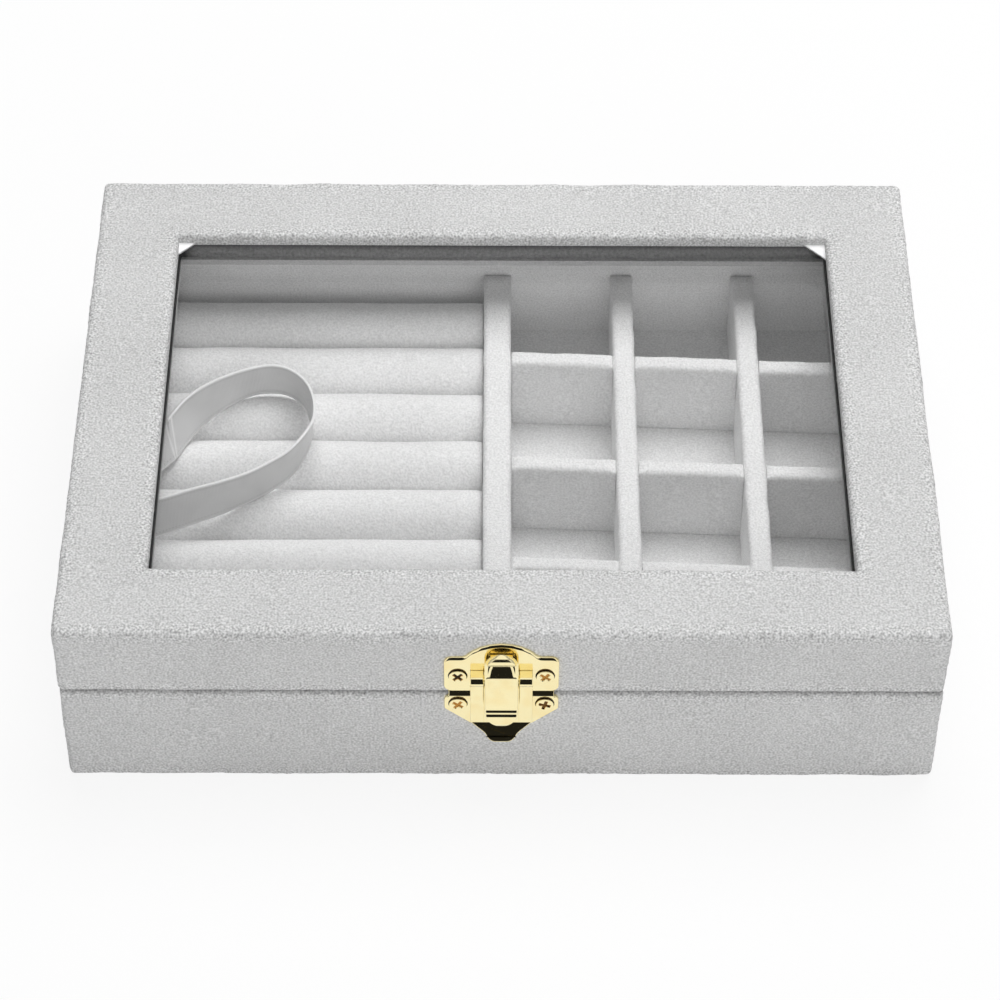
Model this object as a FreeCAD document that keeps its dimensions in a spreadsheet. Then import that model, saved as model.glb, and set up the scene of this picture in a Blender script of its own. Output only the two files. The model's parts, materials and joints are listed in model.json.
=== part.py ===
import FreeCAD, Part
import math
import os
import re

import Sketcher

# Velvet jewelry box with a glass lid. Millimetres, +Z up, front at -Y.
# The origin is the middle of the underside.

doc = FreeCAD.newDocument("velvet_jewelry_box")

sizes = {
    # closed box, cloth included
    "box_width": 200.0,
    "box_depth": 150.0,
    "base_height": 29.8,
    "lid_height": 20.0,
    "seam_gap": 0.2,
    # cloth
    "velvet": 0.7,
    "edge_radius": 1.4,
    "rim_radius": 0.8,
    "turn_in": 12.0,
    # base boards
    "wall_board": 5.0,
    "bottom_board": 3.0,
    "floor_card": 1.4,
    "end_liner": 2.3,
    "side_liner": 5.2,
    "liner_drop": 0.4,
    "liner_radius": 0.9,
    # compartments
    "divider_height": 21.4,
    "mid_divider": 6.8,
    "mid_shift": 1.1,
    "column_divider": 5.4,
    "row_divider": 4.6,
    "divider_radius": 1.5,
    "divider_fit": 0.1,
    # ring rolls
    "roll_height": 17.3,
    "roll_crown": 7.4,
    "roll_fit": 0.15,
    "roll_tuck": 4.0,
    "roll_slack": 3.6,
    # lid
    "window_border": 20.0,
    "window_radius": 1.1,
    "top_bar": 1.9,
    "corner_card": 0.6,
    "corner_leg": 3.4,
    "gasket": 4.0,
    "gasket_width": 6.0,
    "pane": 2.0,
    "bead": 1.6,
    "lining": 0.5,
    # lid stay ribbon
    "ribbon_width": 11.0,
    "ribbon_sheet": 0.4,
    "ribbon_rest": 0.3,
    # hinges
    "hinge_spacing": 116.0,
    "hinge_width": 22.0,
    "hinge_leaf": 9.5,
    "hinge_sheet": 0.8,
    "knuckle_radius": 1.6,
    "knuckle_gap": 0.15,
    "hinge_pin": 0.7,
    "pin_fit": 0.04,
    "hinge_screw_spacing": 13.0,
    "hinge_screw_edge": 3.6,
    "hinge_head": 1.6,
    "hinge_head_height": 0.6,
    # wood screws
    "screw_shank": 0.8,
    "screw_fit": 0.02,
    "screw_length": 4.6,
    "latch_head": 2.1,
    "latch_head_height": 0.9,
    # catch plate on the lid
    "latch_width": 25.8,
    "latch_sheet": 0.8,
    "latch_corner": 1.6,
    "catch_gap": 1.7,
    "catch_ear": 11.2,
    "catch_arch_width": 16.7,
    "catch_arch": 4.4,
    "catch_screw": 5.3,
    "latch_screw_spacing": 19.6,
    "nose_width": 5.0,
    # keeper plate on the base
    "keeper_gap": 0.1,
    "keeper_ear": 4.4,
    "keeper_waist": 8.4,
    "keeper_neck": 12.2,
    "keeper_height": 14.4,
    "keeper_neck_width": 6.0,
    "keeper_scoop": 6.0,
    "keeper_screw": 2.6,
    "keeper_flare": 1.8,
    "channel_width": 14.0,
    "channel_out": 3.0,
    "channel_sheet": 0.7,
    "channel_drop": 6.6,
    # lever and its pivot
    "pivot_up": 7.35,
    "pivot_out": 2.5,
    "barrel_radius": 1.3,
    "latch_pin": 0.6,
    "lever_width": 7.6,
    "lever_gap": 0.15,
    "lever_sheet": 0.75,
    "lever_up": 8.2,
    "lever_corner": 2.4,
    "crown_out": 0.6,
    "crown_drop": 0.4,
    "ear_radius": 1.25,
    "ear_flat": 0.9,
    "neck_out": 1.1,
    "neck_down": 1.9,
    "face_out": 1.7,
    "face_up": 2.8,
    "bevel_out": 0.9,
    "bevel_up": 5.9,
    "heel_out": 2.8,
    "heel_down": 8.0,
    "lip_out": 3.6,
    "lip_down": 12.2,
    "lip_sheet": 1.05,
    "hook_reach": 0.6,
    "hook_up": 6.2,
    "hook_play": 0.3,
    "hook_bite": 0.45,
    "spring_width": 4.0,
    "spring_sheet": 0.25,
    "spring_bow": 0.75,
    "spring_low": 10.2,
    "spring_high": 3.6,
    # room by which every cut passes its piece
    "overrun": 2.0,
}

# Places worked out from the sizes
places = {
    "half_width": "box_width / 2",
    "half_depth": "box_depth / 2",
    "board_x": "half_width - velvet",
    "board_y": "half_depth - velvet",
    "inside_x": "board_x - wall_board",
    "inside_y": "board_y - wall_board",
    "cavity_x": "inside_x - side_liner",
    "cavity_y": "inside_y - end_liner",
    "board_top": "velvet + bottom_board",
    "floor_top": "board_top + floor_card",
    "divider_top": "floor_top + divider_height",
    "roll_top": "floor_top + roll_height",
    "liner_top": "base_height - liner_drop",
    "mid_low": "-mid_divider / 2 - mid_shift",
    "mid_high": "mid_divider / 2 - mid_shift",
    "lid_low": "base_height + seam_gap",
    "lid_top": "lid_low + lid_height",
    "bar_top": "lid_top - velvet",
    "bar_low": "bar_top - top_bar",
    "card_low": "bar_low - corner_card",
    "gasket_low": "card_low - gasket",
    "pane_low": "gasket_low - pane",
    "bead_low": "pane_low - bead",
    "window_x": "half_width - window_border",
    "window_y": "half_depth - window_border",
    "hinge_y": "half_depth + knuckle_radius",
    "hinge_z": "base_height + seam_gap / 2",
    "catch_low": "base_height + catch_gap",
    "catch_top": "catch_low + catch_ear",
    "keeper_top": "base_height - keeper_gap",
    "pivot_z": "base_height + pivot_up",
    "pivot_y": "-half_depth - pivot_out",
    "channel_y": "-half_depth - channel_out",
    "lever_half": "lever_width / 2",
}

roll_count = 8
row_count = 4
column_count = 3
roll_end_share = 0.94
roll_foot_share = 0.84
head_top_share = 0.62
recess_width_share = 0.3
recess_depth_share = 0.55
recess_length_share = 1.15
knuckle_share = 1 / 3
nose_root_share = 1.6
nose_tip_share = 0.6
bevel_inset_share = 0.35
# the ribbon's loop, as shares of the half width and half depth of the cavity, end to end
ribbon_route_shares = [
    (-0.996, -0.352),
    (-0.82, -0.285),
    (-0.62, -0.185),
    (-0.502, -0.02),
    (-0.475, 0.17),
    (-0.54, 0.345),
    (-0.67, 0.395),
    (-0.80, 0.255),
    (-0.90, 0.115),
    (-0.99, -0.005),
]
ribbon_bend_share = 0.45
# two places this close, as a share of the overrun, count as one
touch_share = 1e-4

sheet = doc.addObject("Spreadsheet::Sheet", "Sizes")
for row, (alias, number) in enumerate(sizes.items(), start=1):
    sheet.set(f"A{row}", alias)
    sheet.set(f"B{row}", str(number))
    sheet.setAlias(f"B{row}", alias)
doc.recompute()

word = re.compile(r"[a-z][a-z_]*")
nodes = []


def formula(text):
    # the same sum with every size read from the sheet and every place spelled out
    def swap(found):
        name = found.group()
        if name in sizes:
            return "Sizes." + name
        if name in places:
            return "(" + formula(places[name]) + ")"
        return name

    return word.sub(swap, text)


def bind(piece, field, text):
    piece.setExpression(field, formula(text))


def value(text):
    return float(sheet.evalExpression(formula(text)))


def keep(piece, label):
    piece.Label = label
    nodes.append(piece)
    return piece


def span(piece, x, y, z):
    # a block between low and high places on each axis
    for side, letter, (low, high) in zip(("Length", "Width", "Height"), "xyz", (x, y, z)):
        bind(piece, side, f"({high}) - ({low})")
        bind(piece, "Placement.Base." + letter, low)
    return piece


axis_turns = {
    "x": FreeCAD.Rotation(FreeCAD.Vector(0, 1, 0), 90),
    "y": FreeCAD.Rotation(FreeCAD.Vector(1, 0, 0), -90),
    "-y": FreeCAD.Rotation(FreeCAD.Vector(1, 0, 0), 90),
}


def round_span(piece, axis, at, radius, length):
    # a cylinder that starts at a place and runs along an axis
    piece.Placement = FreeCAD.Placement(FreeCAD.Vector(), axis_turns[axis])
    bind(piece, "Radius", radius)
    bind(piece, "Height", length)
    for letter, text in zip("xyz", at):
        bind(piece, "Placement.Base." + letter, text)
    return piece


def body(label):
    return keep(doc.addObject("PartDesign::Body", label), label)


def add_block(owner, x, y, z):
    return span(owner.newObject("PartDesign::AdditiveBox", owner.Name + "_block"), x, y, z)


def cut_block(owner, x, y, z):
    return span(owner.newObject("PartDesign::SubtractiveBox", owner.Name + "_room"), x, y, z)


def add_rod(owner, axis, at, radius, length):
    rod = owner.newObject("PartDesign::AdditiveCylinder", owner.Name + "_rod")
    return round_span(rod, axis, at, radius, length)


def cut_rod(owner, axis, at, radius, length):
    rod = owner.newObject("PartDesign::SubtractiveCylinder", owner.Name + "_bore")
    return round_span(rod, axis, at, radius, length)


def soften(owner, chosen, radius):
    # rounds the edges of the piece so far that the test picks
    doc.recompute()
    base = owner.Tip
    edges = [f"Edge{i}" for i, edge in enumerate(base.Shape.Edges, start=1) if chosen(edge.BoundBox)]
    fillet = owner.newObject("PartDesign::Fillet", owner.Name + "_round")
    fillet.Base = (base, edges)
    bind(fillet, "Radius", radius)
    return fillet


def near(a, text):
    return abs(a - value(text)) < value("overrun") * touch_share


def outline(owner, role, offset, points):
    # a closed sketch on an origin plane: each point is (across, up) and, where an arc starts, its radius
    # with a sign, positive for an arc that turns left
    sketch = owner.newObject("Sketcher::SketchObject", owner.Name + "_outline")
    plane = next(f for f in owner.Origin.OriginFeatures if f.Role == role)
    sketch.AttachmentSupport = [(plane, "")]
    sketch.MapMode = "FlatFace"
    bind(sketch, "AttachmentOffset.Base.z", offset)
    spots = [FreeCAD.Vector(value(p[0]), value(p[1]), 0) for p in points]
    starts = []
    ends = []
    for i, point in enumerate(points):
        here = spots[i]
        there = spots[(i + 1) % len(points)]
        if len(point) == 2:
            sketch.addGeometry(Part.LineSegment(here, there), False)
            starts.append(1)
            ends.append(2)
            continue
        left = value(point[2]) > 0
        radius = abs(value(point[2]))
        chord = there - here
        rise = math.sqrt(max(radius ** 2 - (chord.Length / 2) ** 2, 0))
        side = FreeCAD.Vector(-chord.y, chord.x, 0).normalize() * (rise if left else -rise)
        centre = (here + there) * 0.5 + side
        first, last = (here, there) if left else (there, here)
        angles = [math.atan2(v.y - centre.y, v.x - centre.x) for v in (first, last)]
        circle = Part.Circle(centre, FreeCAD.Vector(0, 0, 1), radius)
        sketch.addGeometry(Part.ArcOfCircle(circle, angles[0], angles[1]), False)
        starts.append(1 if left else 2)
        ends.append(2 if left else 1)
    for i, point in enumerate(points):
        after = (i + 1) % len(points)
        sketch.addConstraint(Sketcher.Constraint("Coincident", i, ends[i], after, starts[after]))
        for kind, text, place in (("DistanceX", point[0], spots[i].x), ("DistanceY", point[1], spots[i].y)):
            number = sketch.addConstraint(Sketcher.Constraint(kind, -1, 1, i, starts[i], place))
            bind(sketch, f"Constraints[{number}]", text)
        if len(point) == 3:
            number = sketch.addConstraint(Sketcher.Constraint("Radius", i, abs(value(point[2]))))
            bind(sketch, f"Constraints[{number}]", f"abs({point[2]})")
    return sketch


def pad(owner, sketch, length):
    feature = owner.newObject("PartDesign::Pad", owner.Name + "_pad")
    feature.Profile = sketch
    bind(feature, "Length", length)
    return feature


def pocket(owner, sketch, length):
    feature = owner.newObject("PartDesign::Pocket", owner.Name + "_pocket")
    feature.Profile = sketch
    bind(feature, "Length", length)
    return feature


def upright(box):
    thin = box.XLength + box.YLength < value("overrun") * touch_share
    return thin and box.ZLength > box.XLength


def level(box, height):
    return near(box.ZMin, height) and near(box.ZMax, height)


# places of the screws, as (across, up) on the front and rear faces
catch_screws = [(f"{side} * latch_screw_spacing / 2", "catch_low + catch_screw") for side in (-1, 1)]
keeper_screws = [(f"{side} * latch_screw_spacing / 2", "keeper_top - keeper_screw") for side in (-1, 1)]
hinge_centres = ["-hinge_spacing / 2", "hinge_spacing / 2"]
hinge_holes = [f"{centre} + {side} * hinge_screw_spacing / 2" for centre in hinge_centres for side in (-1, 1)]
leaf_drop = "(hinge_leaf - hinge_screw_edge)"
base_hinge_screws = [(across, f"hinge_z - {leaf_drop}") for across in hinge_holes]
lid_hinge_screws = [(across, f"hinge_z + {leaf_drop}") for across in hinge_holes]


def drill(owner, front, rear):
    # pilot holes for the screws that enter from the front and from the rear
    for across, up in front:
        cut_rod(owner, "y", (across, "-half_depth - overrun", up), "screw_shank + screw_fit",
                "screw_length + overrun")
    for across, up in rear:
        cut_rod(owner, "-y", (across, "half_depth + overrun", up), "screw_shank + screw_fit",
                "screw_length + overrun")


def wall_set(prefix, z, front, rear):
    # four boards: the front and rear ones run the full width, the side ones fit between them
    across = ("-board_x", "board_x")
    between = ("-inside_y", "inside_y")
    for name, y, holes in (("front", ("-board_y", "-inside_y"), (front, ())),
                           ("rear", ("inside_y", "board_y"), ((), rear))):
        wall = body(f"{prefix}_{name}_wall")
        add_block(wall, across, y, z)
        drill(wall, *holes)
    for name, x in (("left", ("-board_x", "-inside_x")), ("right", ("inside_x", "board_x"))):
        add_block(body(f"{prefix}_{name}_wall"), x, between, z)


def plain_board(label, x, y, z):
    return keep(span(doc.addObject("Part::Box", label), x, y, z), label)


def base_shell():
    opening = ("turn_in - half_width", "half_width - turn_in")
    opening_y = ("turn_in - half_depth", "half_depth - turn_in")
    plain_board("bottom_felt", opening, opening_y, ("0", "velvet"))
    plain_board("bottom_board", ("-inside_x", "inside_x"), ("-inside_y", "inside_y"), ("velvet", "board_top"))
    wall_set("base", ("velvet", "base_height - velvet"), keeper_screws, base_hinge_screws)
    cover = body("base_velvet_cover")
    add_block(cover, ("-half_width", "half_width"), ("-half_depth", "half_depth"), ("0", "base_height"))
    soften(cover, upright, "edge_radius")
    soften(cover, lambda box: level(box, "base_height") or level(box, "0"), "min(rim_radius; 2 * velvet)")
    cut_block(cover, ("-board_x", "board_x"), ("-board_y", "board_y"), ("velvet", "base_height - velvet"))
    cut_block(cover, ("-inside_x", "inside_x"), ("-inside_y", "inside_y"), ("velvet", "base_height + overrun"))
    cut_block(cover, opening, opening_y, ("-overrun", "velvet + overrun"))
    drill(cover, keeper_screws, base_hinge_screws)


def base_liners():
    # velvet covered boards that stand inside the walls, with the top inner edge rounded
    height = ("board_top", "liner_top")
    full = ("-inside_x", "inside_x")
    between = ("-cavity_y", "cavity_y")
    for name, x, y, edge in (("front", full, ("-inside_y", "-cavity_y"), ("YMax", "-cavity_y")),
                             ("rear", full, ("cavity_y", "inside_y"), ("YMin", "cavity_y")),
                             ("left", ("-inside_x", "-cavity_x"), between, ("XMax", "-cavity_x")),
                             ("right", ("cavity_x", "inside_x"), between, ("XMin", "cavity_x"))):
        liner = body(f"{name}_liner")
        add_block(liner, x, y, height)
        side, place = edge
        opposite = side.replace("Min", "Max") if "Min" in side else side.replace("Max", "Min")
        soften(liner, lambda box: level(box, "liner_top") and near(getattr(box, side), place)
               and near(getattr(box, opposite), place), "liner_radius")


def soft_divider(label, x, y, low, along):
    # a velvet covered board whose two long top edges are rounded
    divider = body(label)
    add_block(divider, x, y, (low, "divider_top"))
    long_side = "XLength" if along == "x" else "YLength"
    short_side = "YLength" if along == "x" else "XLength"
    soften(divider, lambda box: level(box, "divider_top")
           and getattr(box, long_side) > getattr(box, short_side), "divider_radius")
    return divider


def compartments():
    plain_board("compartment_floor", ("mid_high", "cavity_x"), ("-cavity_y", "cavity_y"),
                ("board_top", "floor_top"))
    fitted_y = ("divider_fit - cavity_y", "cavity_y - divider_fit")
    soft_divider("centre_divider", ("mid_low", "mid_high"), fitted_y, "board_top", "y")
    cell_width = f"((cavity_x - mid_high - {column_count - 1} * column_divider) / {column_count})"
    cell_depth = f"((2 * cavity_y - {row_count - 1} * row_divider) / {row_count})"
    column_lows = [f"mid_high + {i} * {cell_width} + {i - 1} * column_divider" for i in range(1, column_count)]
    row_lows = [f"{i} * {cell_depth} + {i - 1} * row_divider - cavity_y" for i in range(1, row_count)]
    half_up = "floor_top + divider_height / 2"
    for number, low in enumerate(column_lows, start=1):
        column = soft_divider(f"column_divider_{number}", (low, f"{low} + column_divider"), fitted_y,
                              "floor_top", "y")
        for row_low in row_lows:
            cut_block(column, (f"{low} - overrun", f"{low} + column_divider + overrun"),
                      (f"{row_low} - divider_fit", f"{row_low} + row_divider + divider_fit"),
                      ("floor_top - overrun", half_up))
    for number, low in enumerate(row_lows, start=1):
        row_board = soft_divider(f"row_divider_{number}", ("mid_high + divider_fit", "cavity_x - divider_fit"),
                                 (low, f"{low} + row_divider"), "floor_top", "x")
        for column_low in column_lows:
            cut_block(row_board,
                      (f"{column_low} - divider_fit", f"{column_low} + column_divider + divider_fit"),
                      (f"{low} - overrun", f"{low} + row_divider + overrun"),
                      (half_up, "divider_top + overrun"))


def ring_rolls():
    # each roll is a crowned pad, drawn in at its foot and at both ends, lofted along X
    plain_board("ring_tray_card", ("-cavity_x", "mid_low"), ("-cavity_y", "cavity_y"),
                ("board_top", "floor_top"))
    pitch = f"((2 * cavity_y - roll_slack) / {roll_count})"
    half = f"({pitch} / 2 - roll_fit)"
    start = "roll_fit - cavity_x"
    end = "mid_low - roll_fit"
    sections = ((start, roll_end_share), (f"{start} + roll_tuck", 1), (f"{end} - roll_tuck", 1),
                (end, roll_end_share))
    for number in range(1, roll_count + 1):
        roll = body(f"ring_roll_{number}")
        bind(roll, "Placement.Base.y", f"cavity_y - {2 * number - 1} * {pitch} / 2")
        profiles = []
        for place, share in sections:
            side = f"({share} * {half})"
            foot = f"({roll_foot_share} * {side})"
            rise = f"({share} * roll_crown)"
            shoulder = f"(floor_top + {share} * roll_height - {rise})"
            crown = f"(({side} ^ 2 + {rise} ^ 2) / (2 * {rise}))"
            profiles.append(outline(roll, "YZ_Plane", place, [
                ("-" + foot, "floor_top"),
                (foot, "floor_top"),
                (side, shoulder, crown),
                ("-" + side, shoulder),
            ]))
        doc.recompute()
        loft = roll.newObject("PartDesign::AdditiveLoft", roll.Name + "_loft")
        loft.Profile = profiles[0]
        loft.Sections = profiles[1:]
        loft.Ruled = True


def lid_shell():
    wall_set("lid", ("lid_low + velvet", "bar_low"), catch_screws, lid_hinge_screws)
    skin_x = "(window_x + velvet)"
    skin_y = "(window_y + velvet)"
    bar_z = ("bar_low", "bar_top")
    plain_board("lid_front_bar", ("-board_x", "board_x"), ("-board_y", f"-{skin_y}"), bar_z)
    plain_board("lid_rear_bar", ("-board_x", "board_x"), (skin_y, "board_y"), bar_z)
    plain_board("lid_left_bar", ("-board_x", f"-{skin_x}"), (f"-{skin_y}", skin_y), bar_z)
    plain_board("lid_right_bar", (skin_x, "board_x"), (f"-{skin_y}", skin_y), bar_z)
    cover = body("lid_velvet_cover")
    add_block(cover, ("-half_width", "half_width"), ("-half_depth", "half_depth"), ("lid_low", "lid_top"))
    soften(cover, lambda box: upright(box) or level(box, "lid_top"), "min(edge_radius; 2 * velvet)")
    soften(cover, lambda box: level(box, "lid_low"), "min(rim_radius; 2 * velvet)")
    cut_block(cover, ("-board_x", "board_x"), ("-board_y", "board_y"), ("lid_low + velvet", "bar_top"))
    cut_block(cover, ("-inside_x", "inside_x"), ("-inside_y", "inside_y"), ("lid_low - overrun", "bar_top"))
    add_block(cover, (f"-{skin_x}", skin_x), (f"-{skin_y}", skin_y), ("bar_low", "bar_top"))
    cut_block(cover, ("-window_x", "window_x"), ("-window_y", "window_y"),
              ("bar_low - overrun", "lid_top + overrun"))
    soften(cover, lambda box: level(box, "lid_top") and (
        near(abs(box.XMin + box.XMax), "2 * window_x") or near(abs(box.YMin + box.YMax), "2 * window_y")),
        "min(window_radius; velvet + top_bar)")
    drill(cover, catch_screws, lid_hinge_screws)


def frame_ring(label, x, y, z, hole_x, hole_y):
    ring = body(label)
    add_block(ring, (f"-({x})", x), (f"-({y})", y), z)
    cut_block(ring, (f"-({hole_x})", hole_x), (f"-({hole_y})", hole_y),
              (f"{z[0]} - overrun", f"{z[1]} + overrun"))
    return ring


def glazing():
    pane_x = "(window_x + gasket_width)"
    pane_y = "(window_y + gasket_width)"
    card = body("white_corner_card")
    add_block(card, (f"-{pane_x}", pane_x), (f"-{pane_y}", pane_y), ("card_low", "bar_low"))
    hole = []
    corners = ((1, -1), (1, 1), (-1, 1), (-1, -1))
    for across, up in corners:
        along_x = (f"{across} * (window_x - corner_leg)", f"{up} * window_y")
        along_y = (f"{across} * window_x", f"{up} * (window_y - corner_leg)")
        hole += [along_x, along_y] if across == -up else [along_y, along_x]
    pocket(card, outline(card, "XY_Plane", "bar_low + overrun", hole), "corner_card + 2 * overrun")
    frame_ring("window_gasket", pane_x, pane_y, ("gasket_low", "card_low"), "window_x", "window_y")
    plain_board("glass_pane", (f"-{pane_x}", pane_x), (f"-{pane_y}", pane_y), ("pane_low", "gasket_low"))
    frame_ring("glazing_bead", "inside_x", "inside_y", ("bead_low", "pane_low"), "window_x", "window_y")
    frame_ring("lid_wall_lining", "inside_x", "inside_y", ("lid_low + velvet", "bead_low"),
               "inside_x - lining", "inside_y - lining")


def ribbon():
    # a satin strip that stands on edge on the ring rolls in a loose loop, its ends at the left liner
    points = [FreeCAD.Vector(x * value("cavity_x"), y * value("cavity_y"), 0) for x, y in ribbon_route_shares]
    half = value("ribbon_sheet / 2")
    near_side = []
    far_side = []

    def line(start, end):
        across = (end - start).normalize()
        across = FreeCAD.Vector(-across.y, across.x, 0) * half
        near_side.append(Part.LineSegment(start + across, end + across).toShape())
        far_side.append(Part.LineSegment(start - across, end - across).toShape())

    def bend(start, middle, end, centre):
        for edges, offset in ((near_side, 1), (far_side, -1)):
            arc = []
            for spot in (start, middle, end):
                out = (spot - centre).normalize()
                outward = offset if (end - start).cross(centre - start).z < 0 else -offset
                arc.append(spot + out * half * outward)
            edges.append(Part.Arc(*arc).toShape())

    here = points[0]
    radii = []
    for before, corner, after in zip(points, points[1:], points[2:]):
        way_in = (corner - before).normalize()
        way_out = (after - corner).normalize()
        turn = way_in.getAngle(way_out)
        cut = ribbon_bend_share * min((corner - before).Length, (after - corner).Length)
        radius = cut / math.tan(turn / 2)
        radii.append(radius)
        start = corner - way_in * cut
        end = corner + way_out * cut
        inward = (way_out - way_in).normalize()
        centre = corner + inward * (radius / math.cos(turn / 2))
        line(here, start)
        bend(start, centre - inward * radius, end, centre)
        here = end
    line(here, points[-1])
    length = sum(edge.Length for edge in near_side + far_side) / 2
    print("ribbon length", round(length, 1), "bend radii", [round(r, 1) for r in radii])

    def tip(side, end):
        return side[0].firstVertex(True).Point if end == 0 else side[-1].lastVertex(True).Point

    caps = [Part.LineSegment(tip(near_side, end), tip(far_side, end)).toShape() for end in (0, 1)]
    face = Part.Face(Part.Wire(Part.__sortEdges__(near_side + far_side + caps)))
    strip = doc.addObject("Part::Feature", "stay_ribbon")
    strip.Shape = face.extrude(FreeCAD.Vector(0, 0, value("ribbon_width")))
    foot = FreeCAD.Vector(0, 0, value("roll_top + ribbon_rest"))
    strip.Placement = FreeCAD.Placement(foot, FreeCAD.Rotation())
    keep(strip, "stay_ribbon")


def screw(name, direction, at, head, head_height):
    # a wood screw whose head stands on the plate face and whose shank runs into the board
    across, face, up = at
    sign = "-" if direction == "y" else "+"
    back = "-y" if direction == "y" else "y"

    def part(kind, suffix):
        return doc.addObject(kind, f"{name}_{suffix}")

    shank = round_span(part("Part::Cylinder", "shank"), direction, at, "screw_shank", "screw_length")
    rim = round_span(part("Part::Cylinder", "rim"), back, at, head, f"{head_height} / 2")
    dome = part("Part::Cone", "dome")
    dome.Placement = FreeCAD.Placement(FreeCAD.Vector(), axis_turns[back])
    bind(dome, "Radius1", head)
    bind(dome, "Radius2", f"{head_top_share} * {head}")
    bind(dome, "Height", f"{head_height} / 2")
    for letter, text in zip("xyz", (across, f"{face} {sign} {head_height} / 2", up)):
        bind(dome, "Placement.Base." + letter, text)
    whole = part("Part::MultiFuse", "blank")
    whole.Shapes = [shank, rim, dome]
    width = f"{recess_width_share} * {head} / 2"
    reach = f"{recess_length_share} * {head} / 2"
    depth = sorted((f"{face} {sign} {head_height} * {1 - recess_depth_share}",
                    f"{face} {sign} ({head_height} + overrun)"), key=value)
    slots = [span(part("Part::Box", "slot"), (f"{across} - {a}", f"{across} + {a}"), depth,
                  (f"{up} - {b}", f"{up} + {b}")) for a, b in ((width, reach), (reach, width))]
    recess = part("Part::MultiFuse", "recess")
    recess.Shapes = slots
    finished = part("Part::Cut", "cut")
    finished.Base = whole
    finished.Tool = recess
    return finished


def screw_set(label, direction, face, spots, head, head_height):
    group = doc.addObject("Part::Compound", label)
    group.Links = [screw(f"{label}_{i}", direction, (across, face, up), head, head_height)
                   for i, (across, up) in enumerate(spots, start=1)]
    keep(group, label)


def hinge(side, centre):
    # a butt hinge: the base leaf has the two outer knuckles, the lid leaf the middle one
    low = f"{centre} - hinge_width / 2"
    third = f"{knuckle_share} * hinge_width"
    plate_y = ("half_depth", "half_depth + hinge_sheet")
    clear = "knuckle_radius + knuckle_gap"
    outer = ((low, third), (f"{low} + 2 * {third}", third))
    middle = ((f"{low} + {third} + knuckle_gap", f"{third} - 2 * knuckle_gap"),)
    for owner, knuckles, others, plate_z, holes in (
            ("base", outer, ((f"{low} + {third}", third),), ("hinge_z - hinge_leaf", "hinge_z - knuckle_gap"),
             base_hinge_screws),
            ("lid", middle, ((f"{low} - overrun", f"{third} + knuckle_gap + overrun"),
                             (f"{low} + 2 * {third} - knuckle_gap", f"{third} + knuckle_gap + overrun")),
             ("hinge_z + knuckle_gap", "hinge_z + hinge_leaf"), lid_hinge_screws)):
        leaf = body(f"{side}_hinge_{owner}_leaf")
        add_block(leaf, (low, f"{low} + hinge_width"), plate_y, plate_z)
        for start, length in others:
            cut_rod(leaf, "x", (start, "hinge_y", "hinge_z"), clear, length)
        for start, length in knuckles:
            add_rod(leaf, "x", (start, "hinge_y", "hinge_z"), "knuckle_radius", length)
        cut_rod(leaf, "x", (f"{low} - overrun", "hinge_y", "hinge_z"), "hinge_pin + pin_fit",
                "hinge_width + 2 * overrun")
        for across, up in holes:
            if abs(value(across) - value(centre)) < value("hinge_width / 2"):
                cut_rod(leaf, "y", (across, "half_depth - overrun", up), "screw_shank + screw_fit",
                        "hinge_sheet + 2 * overrun")
    pin = doc.addObject("Part::Cylinder", f"{side}_hinge_pin")
    keep(round_span(pin, "x", (low, "hinge_y", "hinge_z"), "hinge_pin", "hinge_width"), f"{side}_hinge_pin")


def catch_plate():
    # the plate on the lid: two ears, an arched top and the nose that the lever hooks over
    plate = body("latch_catch_plate")
    half = "latch_width / 2"
    arch = "catch_arch_width / 2"
    corner = "latch_corner"
    bow = "((catch_arch_width ^ 2 / 4 + catch_arch ^ 2) / (2 * catch_arch))"
    pad(plate, outline(plate, "XZ_Plane", "half_depth", [
        (f"{corner} - {half}", "catch_low"),
        (f"{half} - {corner}", "catch_low", corner),
        (half, f"catch_low + {corner}"),
        (half, f"catch_top - {corner}", corner),
        (f"{half} - {corner}", "catch_top"),
        (arch, "catch_top", bow),
        (f"-{arch}", "catch_top"),
        (f"{corner} - {half}", "catch_top", corner),
        (f"-{half}", f"catch_top - {corner}"),
        (f"-{half}", f"catch_low + {corner}", corner),
    ]), "latch_sheet")
    face = "-half_depth - latch_sheet"
    top = "pivot_z + hook_up - hook_play"
    tip = "pivot_y + hook_reach - hook_bite"
    depth = f"({face} - ({tip}))"
    pad(plate, outline(plate, "YZ_Plane", "-nose_width / 2", [
        (face, f"{top} - {nose_root_share} * {depth}"),
        (face, top),
        (tip, top),
        (tip, f"{top} - {nose_tip_share} * {depth}"),
    ]), "nose_width")
    for across, up in catch_screws:
        cut_rod(plate, "y", (across, f"{face} - overrun", up), "screw_shank + screw_fit",
                "latch_sheet + 2 * overrun")
    screw_set("catch_screws", "y", face, catch_screws, "latch_head", "latch_head_height")


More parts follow.
